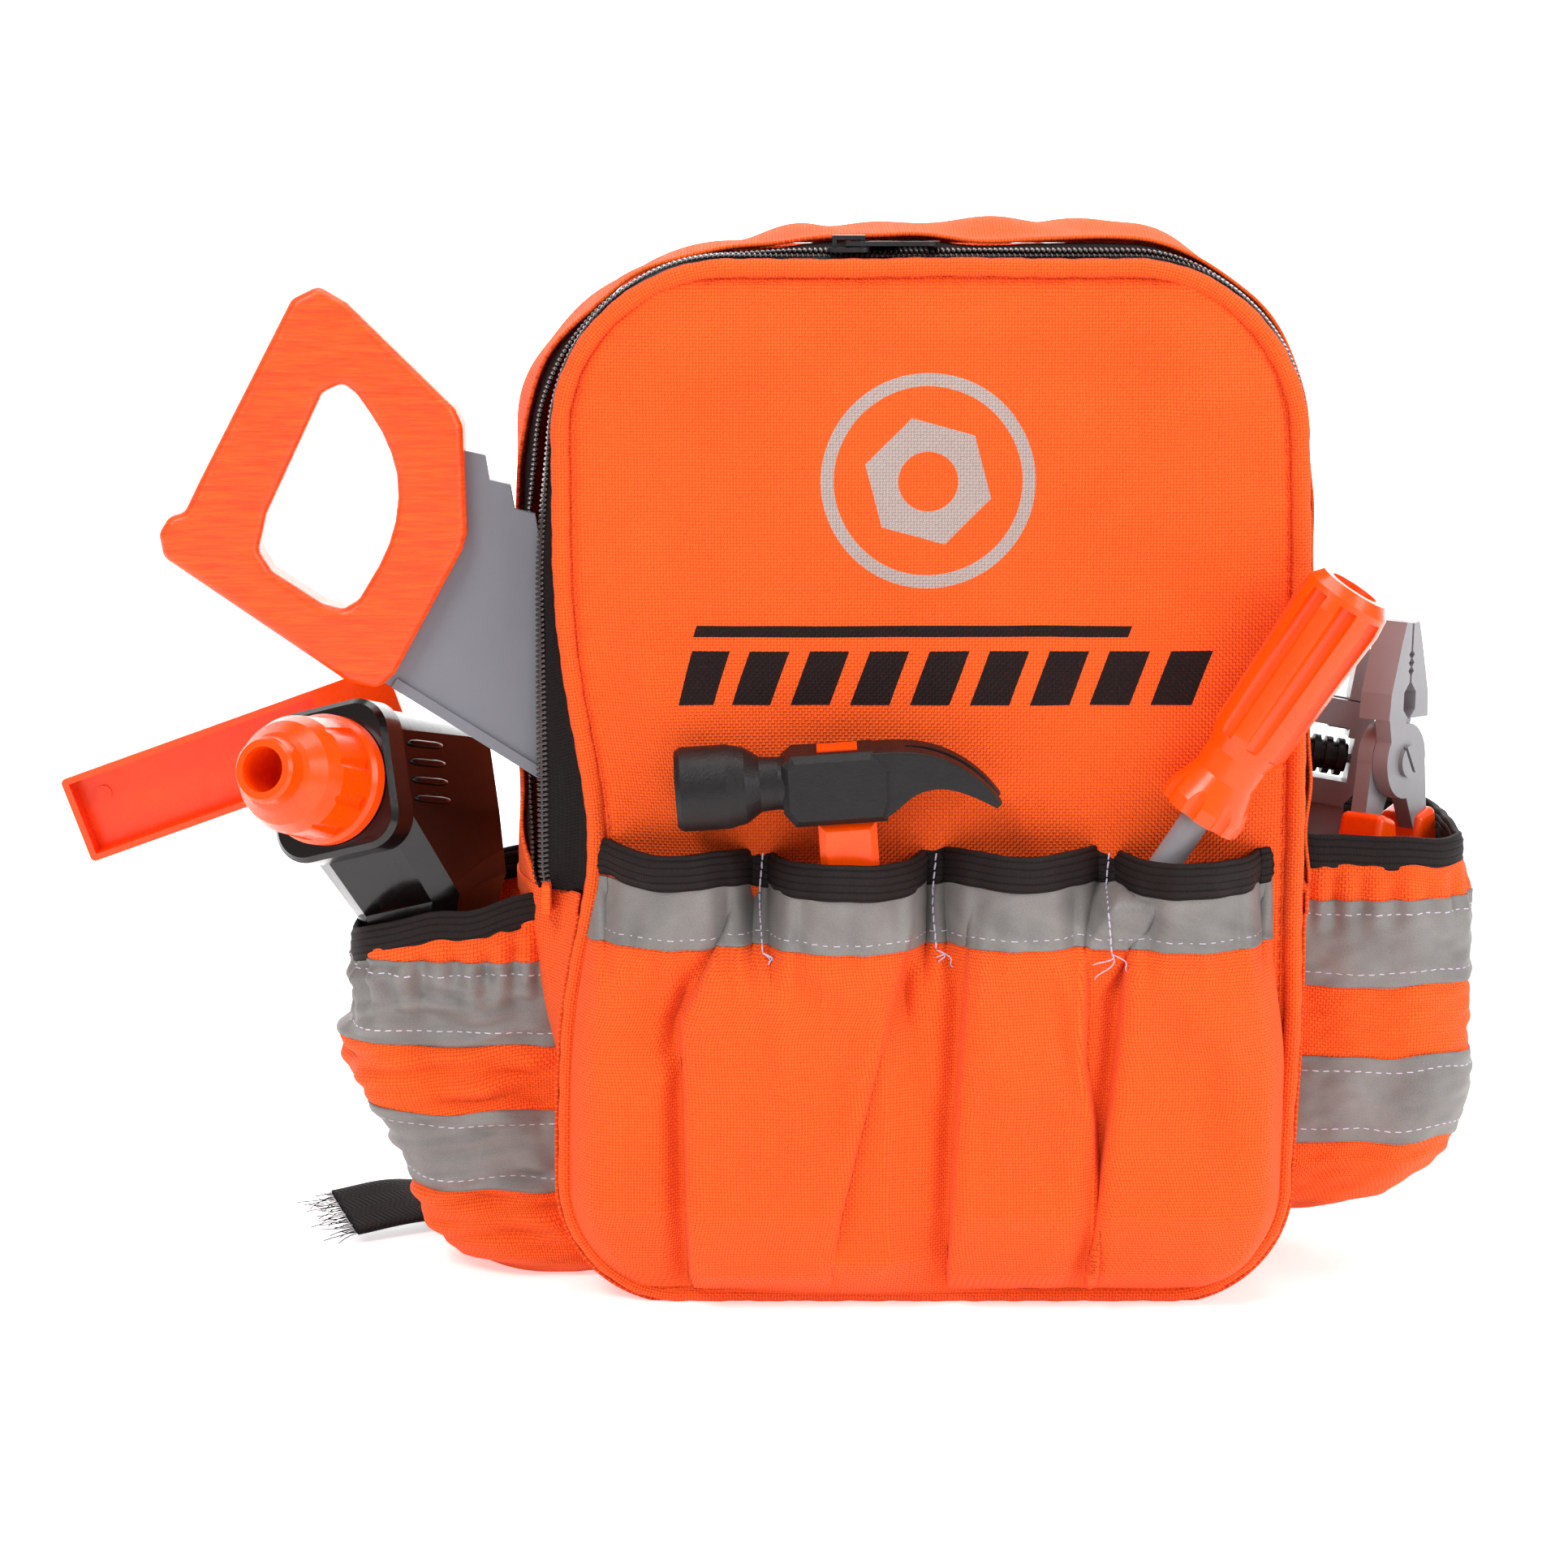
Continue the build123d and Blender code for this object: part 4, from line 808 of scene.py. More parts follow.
def pouch_depth(x, z):
    """Depth of the pouch cloth in front of the panel."""
    arch = np.zeros(np.shape(x))
    for k in range(4):
        a0, a1 = DIV[k], DIV[k + 1]
        inside = np.clip((x - a0 - 3.0) / (a1 - a0 - 6.0), 0, 1)
        arch = arch + ARCH[k] * np.sin(np.pi * inside) ** POWER[k] * ((x > a0) & (x < a1))
    w = half_width(z) - 1.0
    side = np.sqrt(np.clip(1 - np.clip(1 - (w - np.abs(x)) / 15, 0, 1) ** 2, 0, 1))
    foot = np.clip((z - 5) / 26, 0, 1) ** 0.6
    low = 16.5 * side * foot
    p1 = poly(z, [(-52, 122), (-55.7, 110), (-62, 97), (-67.2, 86), (-66.6, 60), (-65.5, 12)])
    p2 = poly(z, [(-4, 118), (-11.1, 87), (-16, 67), (-19.7, 51), (-24.5, 30), (-26.6, 12)])
    p3 = poly(z, [(13.4, 127), (10.3, 82), (8.5, 50), (7.1, 12)])
    p4 = poly(z, [(58, 122), (56, 112), (53.3, 77), (49, 40), (46.2, 12)])
    p5 = poly(z, [(43, 127), (42.7, 74), (46, 56), (47.4, 40)])
    k = 0.9
    a = smooth((x - p1) / k + 0.5) * smooth((p2 - x) / (k + 0.5) + 0.5)
    b = smooth((x - p3) / k + 0.5) * smooth((p5 - x) / (k + 1.5) + 0.5)
    c = smooth((x - p4) / k + 0.5)
    b = b * smooth((np.maximum(p4, p5) + 1 - x) / 2 + 0.5)
    fade = smooth((118 - z) / 22) * smooth((z - 3) / 10)
    steps = (6.0 * a + 5.8 * b + 5.6 * c) * fade * np.clip(side * 1.6, 0, 1)
    # cloth slides under each step before it rises
    for p, sgn in ((p1, -1), (p3, -1), (p4, -1), (p2, 1)):
        steps = steps - 3.6 * bump(x, p + sgn * 2.6, 3.6) * fade
    mix = smooth((z - 92) / 30)
    depth = low * (1 - mix) + arch * mix + steps
    # gathers hanging from the elastic and out of each divider
    g = smooth((z - 86) / 30)
    gather = 0.0
    for k, d in enumerate(DIV):
        near = np.exp(-((x - d) / 14.0) ** 2)
        gather = gather + near * np.sin((x - d) * 2 * math.pi / 8.5 + 1.1 + 0.02 * (130 - z) * (x - d) / 3)
    gather = gather + 0.4 * np.sin(x * 2 * math.pi / 10.5 + 0.8 * np.sin(x / 13))
    calm = 1 - smooth((z - 119) / 9)
    depth = depth + 1.35 * g * gather * (0.35 + 0.65 * calm)
    # soft hanging folds
    depth = depth + 2.6 * ridge(x, z, (-62, 106), (-73, 66), 3.2) - 3.0 * ridge(x, z, (-66, 96), (-72, 74), 2.8)
    depth = depth + 2.2 * ridge(x, z, (-38, 108), (-12, 88), 4.5) + 1.8 * ridge(x, z, (-44, 104), (-34, 40), 5)
    depth = depth - 2.0 * ridge(x, z, (-12, 96), (4, 52), 4.5) + 1.8 * ridge(x, z, (62, 104), (84, 78), 6)
    depth = depth - 1.6 * ridge(x, z, (70, 88), (88, 40), 8) + 1.5 * ridge(x, z, (16, 100), (26, 40), 7)
    depth = depth - 1.8 * ridge(x, z, (33, 100), (41, 62), 3.2) + 1.4 * ridge(x, z, (-42, 104), (-30, 62), 6)
    depth = depth + 1.5 * ridge(x, z, (-8, 108), (-24, 30), 5) - 1.2 * ridge(x, z, (66, 96), (60, 40), 7)
    depth = depth + 0.9 * waves(x, z, 42.0, 31) * np.clip(side, 0, 1) * foot + 0.25 * waves(x, z * 0.4, 11.0, 32)
    depth = np.maximum(depth, 0.5)
    shaft = over_rod(x, z, (26.0, -54.2, 68.0), (60.0, -59.8, 122.0), 6.2, 0.8, 4.5)
    handle = over_rod(x, z, (-18.5, -55.5, 20.0), (-22.0, -63.0, 118.0), 8.2, 0.5, 8.0)
    shaft = shaft * (1 - smooth((z - 117) / 8))
    handle = handle * np.clip((z - 3.5) / 13, 0, 1) ** 0.55 * (1 - smooth((z - 100) / 14))
    return soft_max(soft_max(depth, shaft), handle)


def pouch_span(z):
    left = -(half_width(z) - 1.6)
    right = half_width(z) - 1.6 - 5.5 * smooth((z - 60) / 50)
    return left, right


def pouch_grid(z0, z1, rows, cols, lift):
    z = np.linspace(z0, z1, rows)
    t = np.linspace(0, 1, cols)
    T, Zg = np.meshgrid(t, z)
    l, r = pouch_span(Zg)
    Xg = l + (r - l) * T
    # close to the sides the cloth turns into the seam
    edge = np.clip(np.minimum(T, 1 - T) * (r - l) / 7.0, 0, 1)
    turn = np.sqrt(np.clip(1 - (1 - edge) ** 2, 0, 1))
    D = pouch_depth(soft_inverse(Xg, Zg), Zg) * turn
    p = np.stack([Xg, -47.4 - D - lift * (0.3 + 0.7 * turn), Zg], axis=-1)
    q = soft(np.stack([Xg, np.full(Xg.shape, -47.0), Zg], axis=-1))
    p[..., 0] = q[..., 0]
    return p, Xg, Zg


def soft_inverse(x, z):
    """Where this cloth point ends up, so that pleats keep their measured places."""
    return soft(np.stack([x, np.full(x.shape, -47.0), z], axis=-1))[..., 0]


p, XX, ZZ = pouch_grid(3.6, 126.5, 250, 560, 0.0)
arc_u = np.concatenate([np.zeros((len(p), 1)), np.cumsum(np.linalg.norm(np.diff(p, axis=1), axis=2), axis=1)], axis=1)
arc_u = arc_u - arc_u[:, 280:281]
pouch = grid("front_pocket_cloth", p, np.stack([arc_u, ZZ], axis=-1), MAT["orange"])
thicken(pouch, 0.9, 1.0)
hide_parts("front_pocket")

p, XX, ZZ = pouch_grid(106.0, 123.4, 37, 560, 0.0)
facing = np.cross(np.gradient(p, axis=1), np.gradient(p, axis=0))
p = p + 0.9 * facing / np.linalg.norm(facing, axis=2)[..., None]
u = np.concatenate([np.zeros((len(p), 1)), np.cumsum(np.linalg.norm(np.diff(p, axis=1), axis=2), axis=1)], axis=1)
ptape = grid("front_pocket_tape_cloth", p, np.stack([u, ZZ], axis=-1), MAT["tape"])
thicken(ptape, 0.5, 1.0)
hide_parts("front_pocket_tape")


def row_stitches(name, source, row, material, slot, **kw):
    line = source[row]
    up_ = source[min(row + 1, len(source) - 1)] - source[row - 1]
    al = np.gradient(line, axis=0)
    n = np.cross(al, up_)
    n = n / np.linalg.norm(n, axis=1)[:, None]
    keep = slice(8, -8)
    stitches(name, line[keep], n[keep], material, slot=slot, **kw)


row_stitches("front_tape_stitches", p, 6, MAT["thread"], "front_pocket_tape", lift=0.3)


def mouth_band(name, line, up_dir, out_dir, height, thick, material, replaces, ribs=4):
    """Folded elastic over a pocket's mouth: rounded ridged band along a line."""
    k = np.linspace(0, 2 * math.pi, 40, endpoint=False)
    cx = np.sign(np.cos(k)) * np.abs(np.cos(k)) ** 0.55
    cy = np.sign(np.sin(k)) * np.abs(np.sin(k)) ** 0.8
    rib = 0.22 * np.cos(cx * math.pi * ribs) * np.abs(cy)
    a_ = cx * height / 2
    b_ = cy * thick / 2 + np.sign(cy) * rib
    pts_ = line[:, None] + up_dir[:, None] * a_[None, :, None] + out_dir[:, None] * b_[None, :, None]
    s_ = np.concatenate([[0], np.cumsum(np.linalg.norm(np.diff(line, axis=0), axis=1))])
    girth = np.concatenate([[0], np.cumsum(np.hypot(np.diff(a_), np.diff(b_)))])
    uv_ = np.stack(np.broadcast_arrays(s_[:, None], girth[None, :]), axis=-1)
    ob = grid(name, pts_, uv_, material, wrap=True)
    bm = bmesh.new()
    bm.from_mesh(ob.data)
    bmesh.ops.holes_fill(bm, edges=[e for e in bm.edges if e.is_boundary])
    bmesh.ops.recalc_face_normals(bm, faces=bm.faces[:])
    bm.to_mesh(ob.data)
    bm.free()
    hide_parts(replaces)
    return ob


line = pouch_grid(127.0, 127.01, 2, 420, 0.9)[0][0]
below = pouch_grid(121.8, 121.81, 2, 420, 1.6)[0][0]
upv = (line - below) / np.linalg.norm(line - below, axis=1)[:, None]
wobble = 0.9 * np.sin(line[:, 0] / 15.0) + 0.5 * np.sin(line[:, 0] / 5.3)
line[:, 2] += wobble + 1.2 * bump(line[:, 0], -90, 8) - 1.0 * bump(line[:, 0], -46, 7) - 0.8 * bump(line[:, 0], 2, 7)
al = frames_along(line)
outv = np.cross(al, upv)
outv = outv / np.linalg.norm(outv, axis=1)[:, None]
mouth_band("front_pocket_elastic", line, upv, outv, 10.2, 2.8, MAT["elastic"], "front_pocket_binding")

# divider stitches with loose thread ends
for d in DIV[1:4]:
    zs = np.linspace(131, 105, 30)
    path = np.stack([np.full(30, d) + 1.2 * np.sin(zs / 5) * 0.4 + (d - 40) * 0.0, -49.6 - pouch_depth(np.full(30, d), zs), zs], axis=1)
    path[:, 1] = np.minimum(path[:, 1], -50.6) - 1.5 * smooth((zs - 120.5) / 2)
    nn_ = np.tile([0.0, -1.0, 0.0], (30, 1))
    stitches("divider_stitches", path, nn_, MAT["thread"], step=2.4, length=2.2, radius=0.26, slot="front_pocket")
    for k in range(3):
        tt = np.linspace(0, 1, 14)
        r = np.random.default_rng(int(d) + 60 + k)
        dx, dz = r.uniform(-5, 7), r.uniform(-8, -2)
        base = path[-1] + [0, -0.5, 0]
        hair = base + np.stack([dx * tt + 1.5 * np.sin(tt * 5), -1.6 * np.sin(tt * 3.0), dz * tt], axis=1)
        tube("loose_thread", hair, 0.16, MAT["thread"], sides=6)

# ------------------------------------------------------------------ side pockets


def side_pocket(sign, levels, mouth_in, mouth_out, seed, crumple):
    """Returns a function (t, v) -> point: t runs round the hanging pocket, v from its foot to its mouth."""
    lev = np.array(levels)

    def plan(t, z):
        reach = np.interp(z, lev[:, 0], lev[:, 1])
        y0 = np.interp(z, lev[:, 0], lev[:, 2])
        y1 = np.interp(z, lev[:, 0], lev[:, 3])
        r = np.minimum(17.0, reach * 0.6)
        a, d, q = reach - r, (y1 - y0) - 2 * r, math.pi / 2 * r
        s = t * (2 * a + 2 * q + d)
        k1 = np.clip((s - a) / r, 0, math.pi / 2)
        k2 = np.clip((s - a - q - d) / r, 0, math.pi / 2)
        x = np.clip(s, 0, a) + r * np.sin(k1) - (r - r * np.cos(k2)) - np.clip(s - a - 2 * q - d, 0, a)
        y = y0 + (r - r * np.cos(k1)) + np.clip(s - a - q, 0, d) + r * np.sin(k2)
        return x, y, np.sin(k1 + k2), -np.cos(k1 + k2), s, reach

    def point(t, v, lift=0.0):
        frac = plan(t, np.full(np.shape(t), lev[-1, 0]))
        top = mouth_in + (mouth_out - mouth_in) * np.clip(frac[0] / frac[5], 0, 1)
        z = lev[0, 0] + (top - lev[0, 0]) * v
        x, y, nx, ny, s, reach = plan(t, z)
        w = crumple * (waves(s, z, 21.0, seed) * 0.8 + waves(s, z * 2.4, 17.0, seed + 1) * 0.6
                       + waves(s, z, 55.0, seed + 2) * 1.1)
        behind = smooth((t - 0.58) / 0.08)
        w = w * (1 - 0.7 * behind) + 1.0 * behind
        gather = np.sin(s * 2 * math.pi / 8.0 + 1.5 * np.sin(s / 11.0)) * smooth((v - 0.72) / 0.18) * smooth((0.99 - v) / 0.11)
        free = smooth(t / 0.05) * smooth((1 - t) / 0.05)
        full = 3.0 * np.sin(math.pi * t) ** 0.7 * np.sin(math.pi * np.clip(v, 0, 1)) ** 0.6
        fold = free * (w * (0.4 + 0.6 * smooth((1.02 - v) / 0.2)) + (0.6 + 0.42 * crumple * (1 - 0.6 * behind)) * gather + full) + lift
        sag = 0.9 * waves(s, v * 20, 26.0, seed + 3) * free
        root = half_width(np.maximum(z, 12.0)) + 2.9
        px = sign * (root + x * (reach + 103.9 - root) / reach + fold * nx)
        return np.stack(np.broadcast_arrays(px, y + fold * ny, np.maximum(z + sag * smooth(v / 0.2), 0.9)), axis=-1)

    return point


LEFT = side_pocket(-1, [(1.2, 21, -18, 36), (5, 29, -24, 42), (12, 37, -25, 43), (29, 42, -26, 45), (38, 44, -27, 47),
                        (48, 48, -28, 49), (58, 56, -28.5, 50), (70, 59, -29, 50), (82, 57, -29, 50), (91, 59, -29, 50),
                        (101, 58, -29, 50), (117, 57, -29, 50)], 111.5, 98.0, 41, 2.2)
RIGHT = side_pocket(1, [(19.5, 16, -18, 28), (23, 33, -22, 33), (30, 41, -25, 37), (36, 46, -27, 40), (48, 49, -28, 42),
                        (60, 50.5, -28.5, 43), (106, 50.5, -29, 44), (130, 49.5, -29, 44)], 127.5, 124.5, 51, 0.8)

for tag, fn, floor_z, tapes, mouth_in, mouth_out in (
    ("left", LEFT, 1.2, ((26.5, 51.0), (70.0, 95.0)), 116.5, 103.0),
    ("right", RIGHT, 19.5, ((41.5, 67.0), (87.7, 112.7)), 132.5, 129.5),
):
    sign = -1 if tag == "left" else 1
    phi = np.linspace(0.0, 1.0, 240)
    v = np.linspace(0, 1, 170)
    P, Vv = np.meshgrid(phi, v)
    pts = fn(P, Vv)
    foot = pts[0]
    # the bottom turns under in soft radial gathers back to the bag's side
    under = []
    for k, t_ in enumerate(np.linspace(1, 0.08, 9)[1:]):
        row = foot.copy()
        row[:, 0] = sign * 96.0 + (foot[:, 0] - sign * 96.0) * t_
        row[:, 1] = foot[:, 1].mean() + (foot[:, 1] - foot[:, 1].mean()) * (0.35 + 0.65 * t_)
        row[:, 2] = foot[:, 2] - 0.9 + 0.9 * t_ + (0.5 + 0.5 * np.sin(phi * 50)) * (1 - t_) * 1.5 + (0.0 if tag == "left" else 1.0) * (1 - t_) * 4
        row[:, 2] = np.maximum(row[:, 2], 0.35)
        under.append(row)
    full = np.concatenate([np.array(under[::-1]), pts])
    girth = 175.0
    uvx = np.broadcast_to(phi[None, :] * girth, full.shape[:2])
    uvz = np.concatenate([[0], np.cumsum(np.linalg.norm(np.diff(full[:, 120], axis=0), axis=1))])[:, None] + 0 * uvx
    ob = grid(tag + "_pocket_cloth", full, np.stack([uvx, uvz], axis=-1), MAT["orange"], flip=(sign > 0))
    thicken(ob, 0.9, -1.0)
    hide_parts(tag + "_pocket")
    first = True
    for z0, z1 in tapes:
        rows = []
        for zt in np.linspace(z0, z1, 26):
            at_top = fn(phi, np.ones(len(phi)))
            top = at_top[:, 2]
            rows.append(fn(phi, np.clip((zt - floor_z) / (top - floor_z), 0, 1), 0.95))
        rows = np.array(rows)
        keep = slice(1, -1)
        rr = rows[:, keep]
        uv = np.stack(np.broadcast_arrays(phi[None, keep] * girth, np.linspace(z0, z1, 26)[:, None]), axis=-1)
        tp = grid(tag + "_pocket_tape_cloth", rr, uv, MAT["tape"], flip=(sign > 0))
        thicken(tp, 0.5, -1.0)
        if first:
            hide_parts(tag + "_pocket_tapes")
            first = False
        for r_ in (4, 21):
            line = rr[r_]
            al = np.gradient(line, axis=0)
            n_ = np.cross(al, rr[r_ + 1] - rr[r_ - 1]) * (1 if sign < 0 else -1)
            n_ = n_ / np.linalg.norm(n_, axis=1)[:, None]
            out_ = line - np.array([sign * 100.0, 10.0, 0.0])
            out_[:, 2] = 0
            n_ = n_ * np.sign(np.sum(n_ * out_, axis=1))[:, None]
            stitches(tag + "_tape_stitches", line, n_, MAT["thread"], slot=tag + "_pocket_tapes", lift=0.35)
    line = fn(phi, np.ones(len(phi)), 0.3)
    line[:, 2] += 0.7 * np.sin(phi * 27 + 1) * np.sin(math.pi * phi)
    al = frames_along(line)
    upv = np.tile([0.0, 0.0, 1.0], (len(line), 1))
    outv = np.cross(al, upv)
    outv = outv / np.linalg.norm(outv, axis=1)[:, None]
    mouth_band(tag + "_pocket_elastic", line, upv, outv, 10.0, 2.8, MAT["elastic"], tag + "_pocket_binding")

# ------------------------------------------------------------------ straps and handle


def ribbon(name, path, across, width, thick, material, replaces=None, u0=0.0):
    """Flat webbing along a path (n, 3), with its width along `across` (n, 3)."""
    across = across / np.linalg.norm(across, axis=1)[:, None]
    tt_ = frames_along(path)
    nrm = np.cross(tt_, across)
    nrm = nrm / np.linalg.norm(nrm, axis=1)[:, None]
    k = np.linspace(-1, 1, 15)
    edge = 1 - 0.55 * np.abs(k) ** 8
    top_ = path[:, None] + across[:, None] * (k * width / 2)[None, :, None] + nrm[:, None] * (edge * thick / 2)[None, :, None]
    bot_ = path[:, None] + across[:, None] * (k[::-1] * width / 2)[None, :, None] - nrm[:, None] * (edge * thick / 2)[None, :, None]
    pts_ = np.concatenate([top_, bot_], axis=1)
    s_ = np.concatenate([[0], np.cumsum(np.linalg.norm(np.diff(path, axis=0), axis=1))])
    vv = np.concatenate([k * width / 2, k[::-1] * width / 2 + width + thick])
    uv_ = np.stack(np.broadcast_arrays(s_[:, None] + u0, vv[None, :]), axis=-1)
    ob = grid(name, pts_, uv_, material, wrap=True)
    bm = bmesh.new()
    bm.from_mesh(ob.data)
    bmesh.ops.holes_fill(bm, edges=[e for e in bm.edges if e.is_boundary])
    bmesh.ops.recalc_face_normals(bm, faces=bm.faces[:])
    bm.to_mesh(ob.data)
    bm.free()
    if replaces:
        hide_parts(replaces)
    return ob


def curve(points, count):
    """Smooth curve through points (Catmull-Rom), resampled evenly."""
    p_ = np.array(points, float)
    p_ = np.concatenate([[2 * p_[0] - p_[1]], p_, [2 * p_[-1] - p_[-2]]])
    out_ = []
    for k in range(1, len(p_) - 2):
        for t_ in np.linspace(0, 1, 24, endpoint=False):
            a_, b_, c_, d_ = p_[k - 1:k + 3]
            out_.append(0.5 * (2 * b_ + (c_ - a_) * t_ + (2 * a_ - 5 * b_ + 4 * c_ - d_) * t_**2 + (3 * b_ - a_ - 3 * c_ + d_) * t_**3))
    out_.append(p_[-2])
    out_ = np.array(out_)
    s_ = np.concatenate([[0], np.cumsum(np.linalg.norm(np.diff(out_, axis=0), axis=1))])
    at_ = np.linspace(0, s_[-1], count)
    return np.stack([np.interp(at_, s_, out_[:, k]) for k in range(3)], axis=1)


for tag, sx in (("left", -1), ("right", 1)):
    # padded strap: pillow between two stitched edges
    path = curve([(sx * 50, 52, 283), (sx * 50, 57, 272), (sx * 50, 61, 240), (sx * 50, 64, 200), (sx * 50, 62.5, 160), (sx * 50, 61, 124)], 130)
    tt_ = frames_along(path)
    across = np.tile([1.0, 0.0, 0.0], (len(path), 1))
    nrm = np.cross(tt_, across)
    ang = np.linspace(0, 2 * math.pi, 72, endpoint=False)
    ca, sa = np.cos(ang), np.sin(ang)
    wide = np.sign(ca) * np.abs(ca) ** 0.7 * 21
    tall = np.sign(sa) * np.abs(sa) ** 0.9
    groove = 1 - 0.55 * np.exp(-(((np.abs(wide) - 17.0) / 1.2) ** 2))
    s_ = np.linspace(0, 1, len(path))
    body_t = 3.7 * np.clip(np.minimum(s_ / 0.06, (1 - s_) / 0.04), 0.35, 1) ** 0.5
    quilt = 1 + 0.05 * np.sin(s_ * 40)
    pts = path[:, None] + across[:, None] * wide[None, :, None] + nrm[:, None] * (tall * groove)[None, :, None] * (body_t * quilt)[:, None, None]
    uv = np.stack(np.broadcast_arrays((s_ * 165)[:, None], (ang * 21)[None, :]), axis=-1)
    ob = grid(tag + "_shoulder_strap_pad", pts, uv, MAT["pad"], wrap=True)
    bm = bmesh.new()
    bm.from_mesh(ob.data)
    bmesh.ops.holes_fill(bm, edges=[e for e in bm.edges if e.is_boundary])
    bmesh.ops.recalc_face_normals(bm, faces=bm.faces[:])
    bm.to_mesh(ob.data)
    bm.free()
    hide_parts(tag + "_shoulder_strap")
    for e in (-17.0, 17.0):
        line = path + across * e + nrm * 1.75
        stitches(tag + "_strap_stitches", line[4:-4], nrm[4:-4], MAT["thread"], slot=tag + "_shoulder_strap", lift=0.0)
    low_path = curve([(sx * 50, 60.2, 121), (sx * 50, 60, 104), (sx * 50, 58, 70), (sx * 50, 54.5, 40), (sx * 50, 50.2, 15)], 90)
    ribbon(tag + "_lower_web", low_path, np.tile([1.0, 0, 0], (90, 1)), 22, 1.6, MAT["webbing"], tag + "_lower_webbing")

bow = curve([(-26, 49.6, 273), (-20, 57.5, 273), (-8, 63, 273), (8, 63, 273), (20, 57.5, 273), (26, 49.6, 273)], 90)
ribbon("grab_handle_web", bow, np.tile([0, 0, 1.0], (90, 1)), 22, 2.2, MAT["webbing"], "grab_handle")

right_tail = curve([(50, 65.8, 112), (50, 66.0, 80), (50.5, 66.3, 42)], 60)
ribbon("right_tail_web", right_tail, np.tile([1.0, 0, 0], (60, 1)), 22, 1.6, MAT["webbing"], "right_webbing_tail")
left_tail = curve([(-50, 65.8, 112), (-50, 65.9, 60), (-50, 66.2, 16), (-52, 68.6, 4.0), (-62, 69, 1.4), (-90, 60, 1.2),
                   (-118, 48, 1.6), (-136, 38, 5.5), (-154, 27, 8.5), (-171, 17, 7.6)], 200)
seg = np.linspace(0, 1, 200)
turn = smooth((seg - 0.36) / 0.1)
dirx = np.stack([np.full(200, 1.0), np.zeros(200), np.zeros(200)], axis=1)
flat = frames_along(left_tail)
sidev = np.cross(flat, [0, 0, 1.0])
sidev = -sidev / np.maximum(np.linalg.norm(sidev, axis=1), 1e-6)[:, None]
rise = smooth((seg - 0.7) / 0.25)[:, None] * np.array([0, 0, -0.45])
across = dirx * (1 - turn)[:, None] + (sidev + rise) * turn[:, None]
ribbon("left_tail_web", left_tail, across, 21, 1.5, MAT["webbing"], "left_webbing_tail")
end = left_tail[-1]
ac = across[-1] / np.linalg.norm(across[-1])
for k in range(46):
    r = np.random.default_rng(900 + k)
    start = end + ac * (k / 45 - 0.5) * 20
    tt = np.linspace(0, 1, 8)
    reach = r.uniform(3, 9)
    bend = r.uniform(-3, 3, 3)
    hair = start + np.outer(tt, [-reach, -0.35 * reach, -0.15 * reach]) + np.outer(tt**2, bend) * [1, 1, 0.5]
    hair[:, 2] = np.maximum(hair[:, 2], 0.3)
    tube("frayed_thread", hair, 0.13, MAT["webbing"] if k % 12 else MAT["thread"], sides=5)

# ------------------------------------------------------------------ louvres on the drill's side

yaw, pitch, roll = math.radians(25), math.radians(14), math.radians(16)
nose = np.array([-math.sin(yaw) * math.cos(pitch), -math.cos(yaw) * math.cos(pitch), math.sin(pitch)])
level = np.array([math.cos(yaw), -math.sin(yaw), 0.0])
upward = np.array([math.sin(pitch) * math.sin(yaw), math.sin(pitch) * math.cos(yaw), math.cos(pitch)])
drill_up = upward * math.cos(roll) - level * math.sin(roll)
drill_right = level * math.cos(roll) + upward * math.sin(roll)
flange = np.array([-169.0, -22.0, 145.6])
back = -nose * 44 + drill_right * 6.5
back = back / np.linalg.norm(back)
face = np.cross(back, drill_up)
face = face * np.sign(face.dot(drill_right))
places = []
for row in range(4):
    start = flange - nose * 9 + drill_right * 18.9 + drill_up * (8.2 - 5.4 * row)
    places.append((start + back * 12.5 + face * 0.2, back, np.cross(face, back), face))
many("drill_louvres", capsule(17.0, 1.15, 10), places, MAT["drill"], "drill")

# ------------------------------------------------------------------ room, light, camera

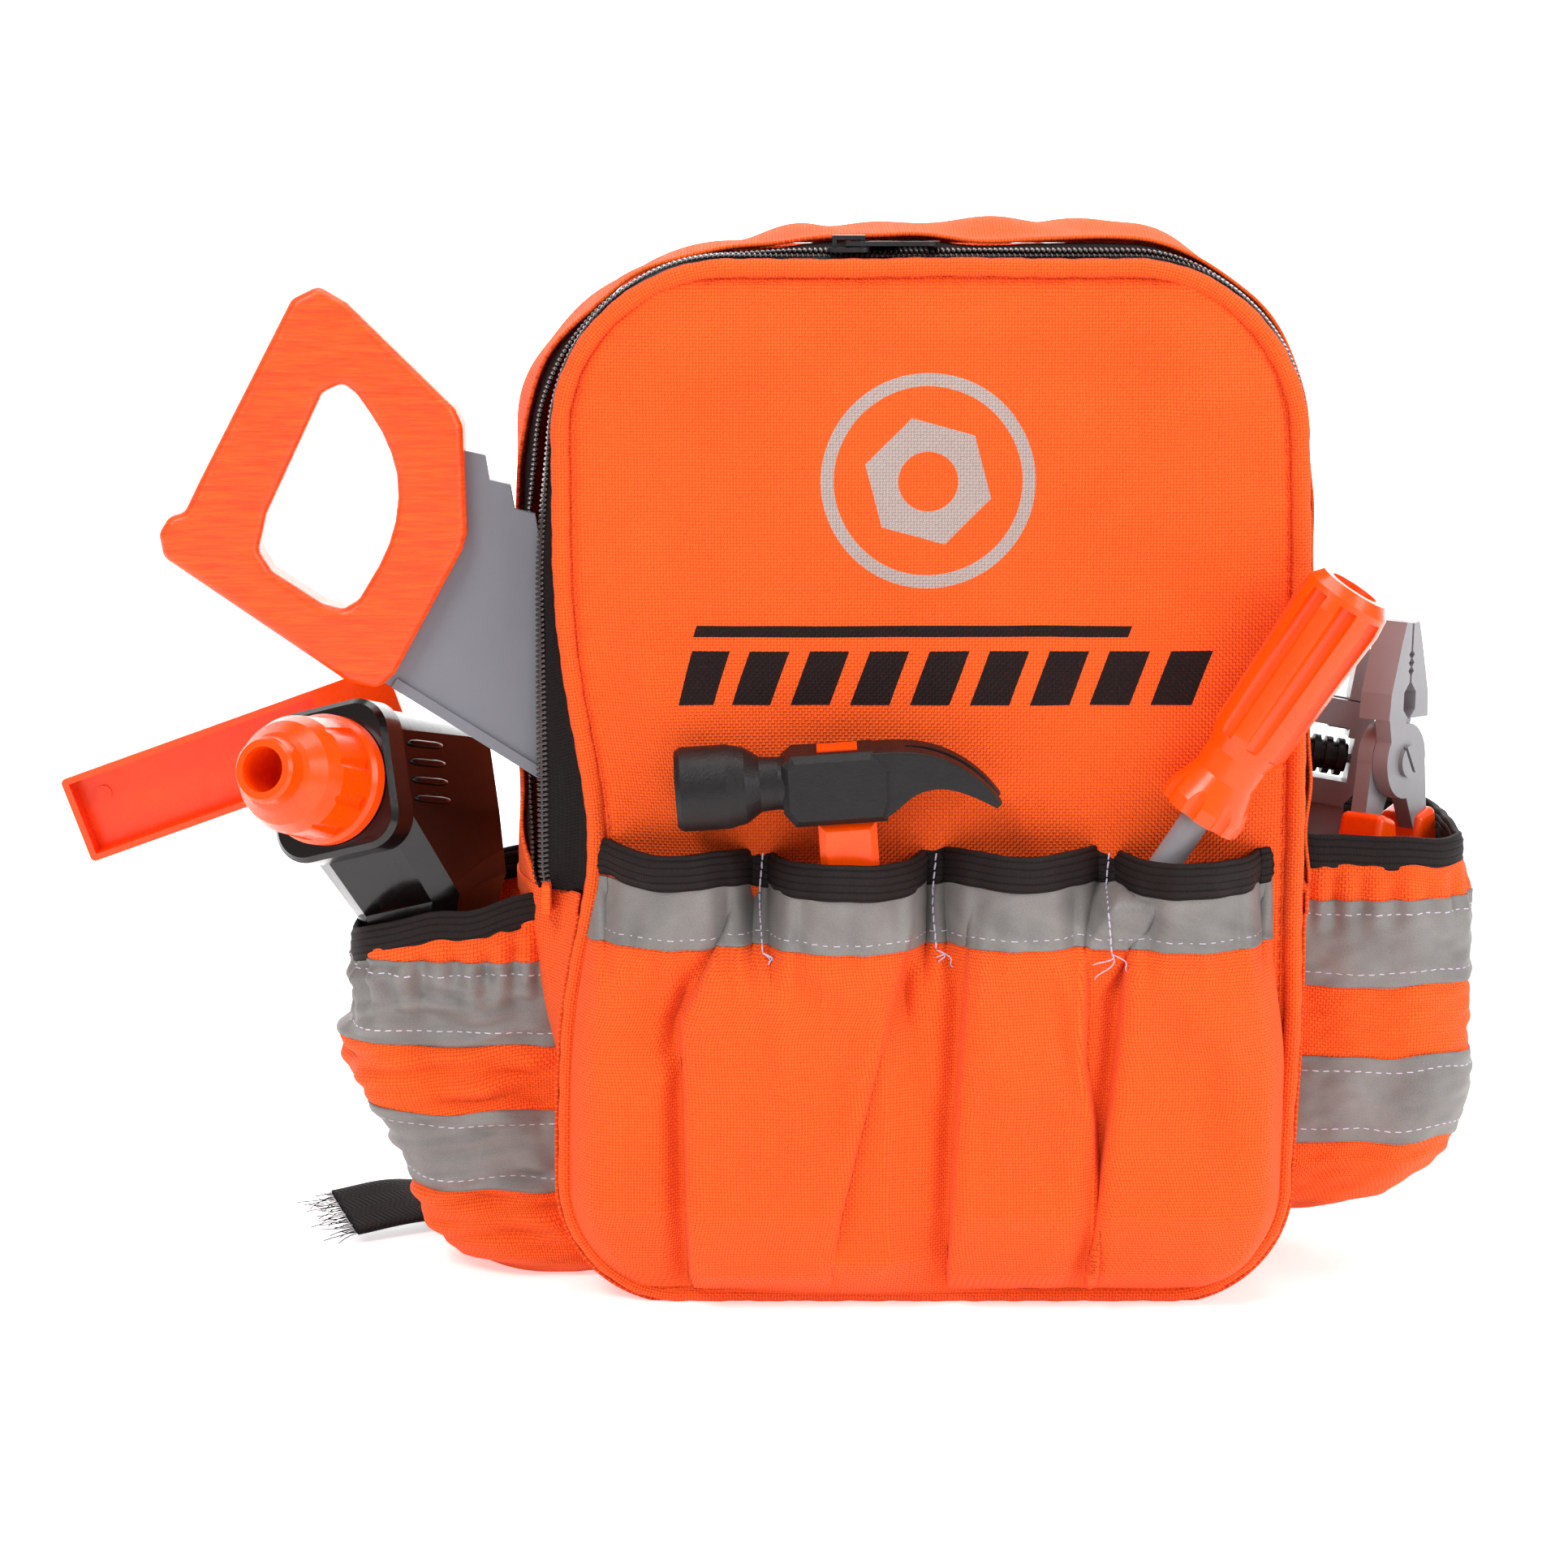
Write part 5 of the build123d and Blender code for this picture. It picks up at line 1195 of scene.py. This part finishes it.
floor_me = bpy.data.meshes.new("floor")
bm = bmesh.new()
rows_f = []
for k, (yy, hh) in enumerate([(-3000, 0), (900, 0), (1100, 20), (1300, 90), (1450, 220), (1530, 420), (1550, 700), (1550, 3000)]):
    rows_f.append([bm.verts.new((sx * 3.0, yy * MM, hh * MM)) for sx in (-1, 1)])
for k in range(len(rows_f) - 1):
    bm.faces.new([rows_f[k][0], rows_f[k][1], rows_f[k + 1][1], rows_f[k + 1][0]])
bm.to_mesh(floor_me)
bm.free()
floor = bpy.data.objects.new("floor", floor_me)
bpy.context.scene.collection.objects.link(floor)
floor_me.polygons.foreach_set("use_smooth", [True] * len(floor_me.polygons))
paper = Net("white_paper")
paper.set(rough=0.9, spec=0.1)
paper.b.inputs["Base Color"].default_value = (0.9, 0.9, 0.9, 1)
paper.b.inputs["Emission Color"].default_value = (1, 1, 1, 1)
paper.b.inputs["Emission Strength"].default_value = 0.46
floor_me.materials.append(paper.mat)


def area(name, place, aim, wide, tall, power, colour=(1, 1, 1)):
    data = bpy.data.lights.new(name, "AREA")
    data.shape = "RECTANGLE"
    data.size = wide
    data.size_y = tall
    data.energy = power
    data.color = colour
    ob = bpy.data.objects.new(name, data)
    bpy.context.scene.collection.objects.link(ob)
    ob.location = place
    ob.rotation_euler = (Vector(aim) - Vector(place)).to_track_quat("-Z", "Y").to_euler()


area("key", (-0.75, -1.05, 1.35), (0, 0, 0.12), 0.6, 0.6, 16)
area("fill", (1.3, -0.9, 0.8), (0, 0, 0.12), 0.9, 0.9, 15)
area("top", (0.1, 0.0, 1.6), (0, 0, 0.1), 1.0, 1.0, 16)
area("back_wash", (0, 0.9, 1.2), (0, 1.5, 0.6), 2.2, 1.2, 30)

world = bpy.data.worlds.new("room")
world.use_nodes = True
world.node_tree.nodes["Background"].inputs["Color"].default_value = (1, 1, 1, 1)
world.node_tree.nodes["Background"].inputs["Strength"].default_value = 0.42
bpy.context.scene.world = world

cam = bpy.data.cameras.new("camera")
cam.sensor_width = 36
cam.lens = 95.0
cam_ob = bpy.data.objects.new("camera", cam)
bpy.context.scene.collection.objects.link(cam_ob)
cam_ob.location = (-0.0397, -1.1795, 0.3487)
cam_ob.rotation_euler = (Vector((-0.0397, -0.047, 0.149)) - cam_ob.location).to_track_quat("-Z", "Y").to_euler()
bpy.context.scene.camera = cam_ob
bpy.context.scene.view_settings.view_transform = "Standard"
bpy.context.scene.view_settings.look = "None"
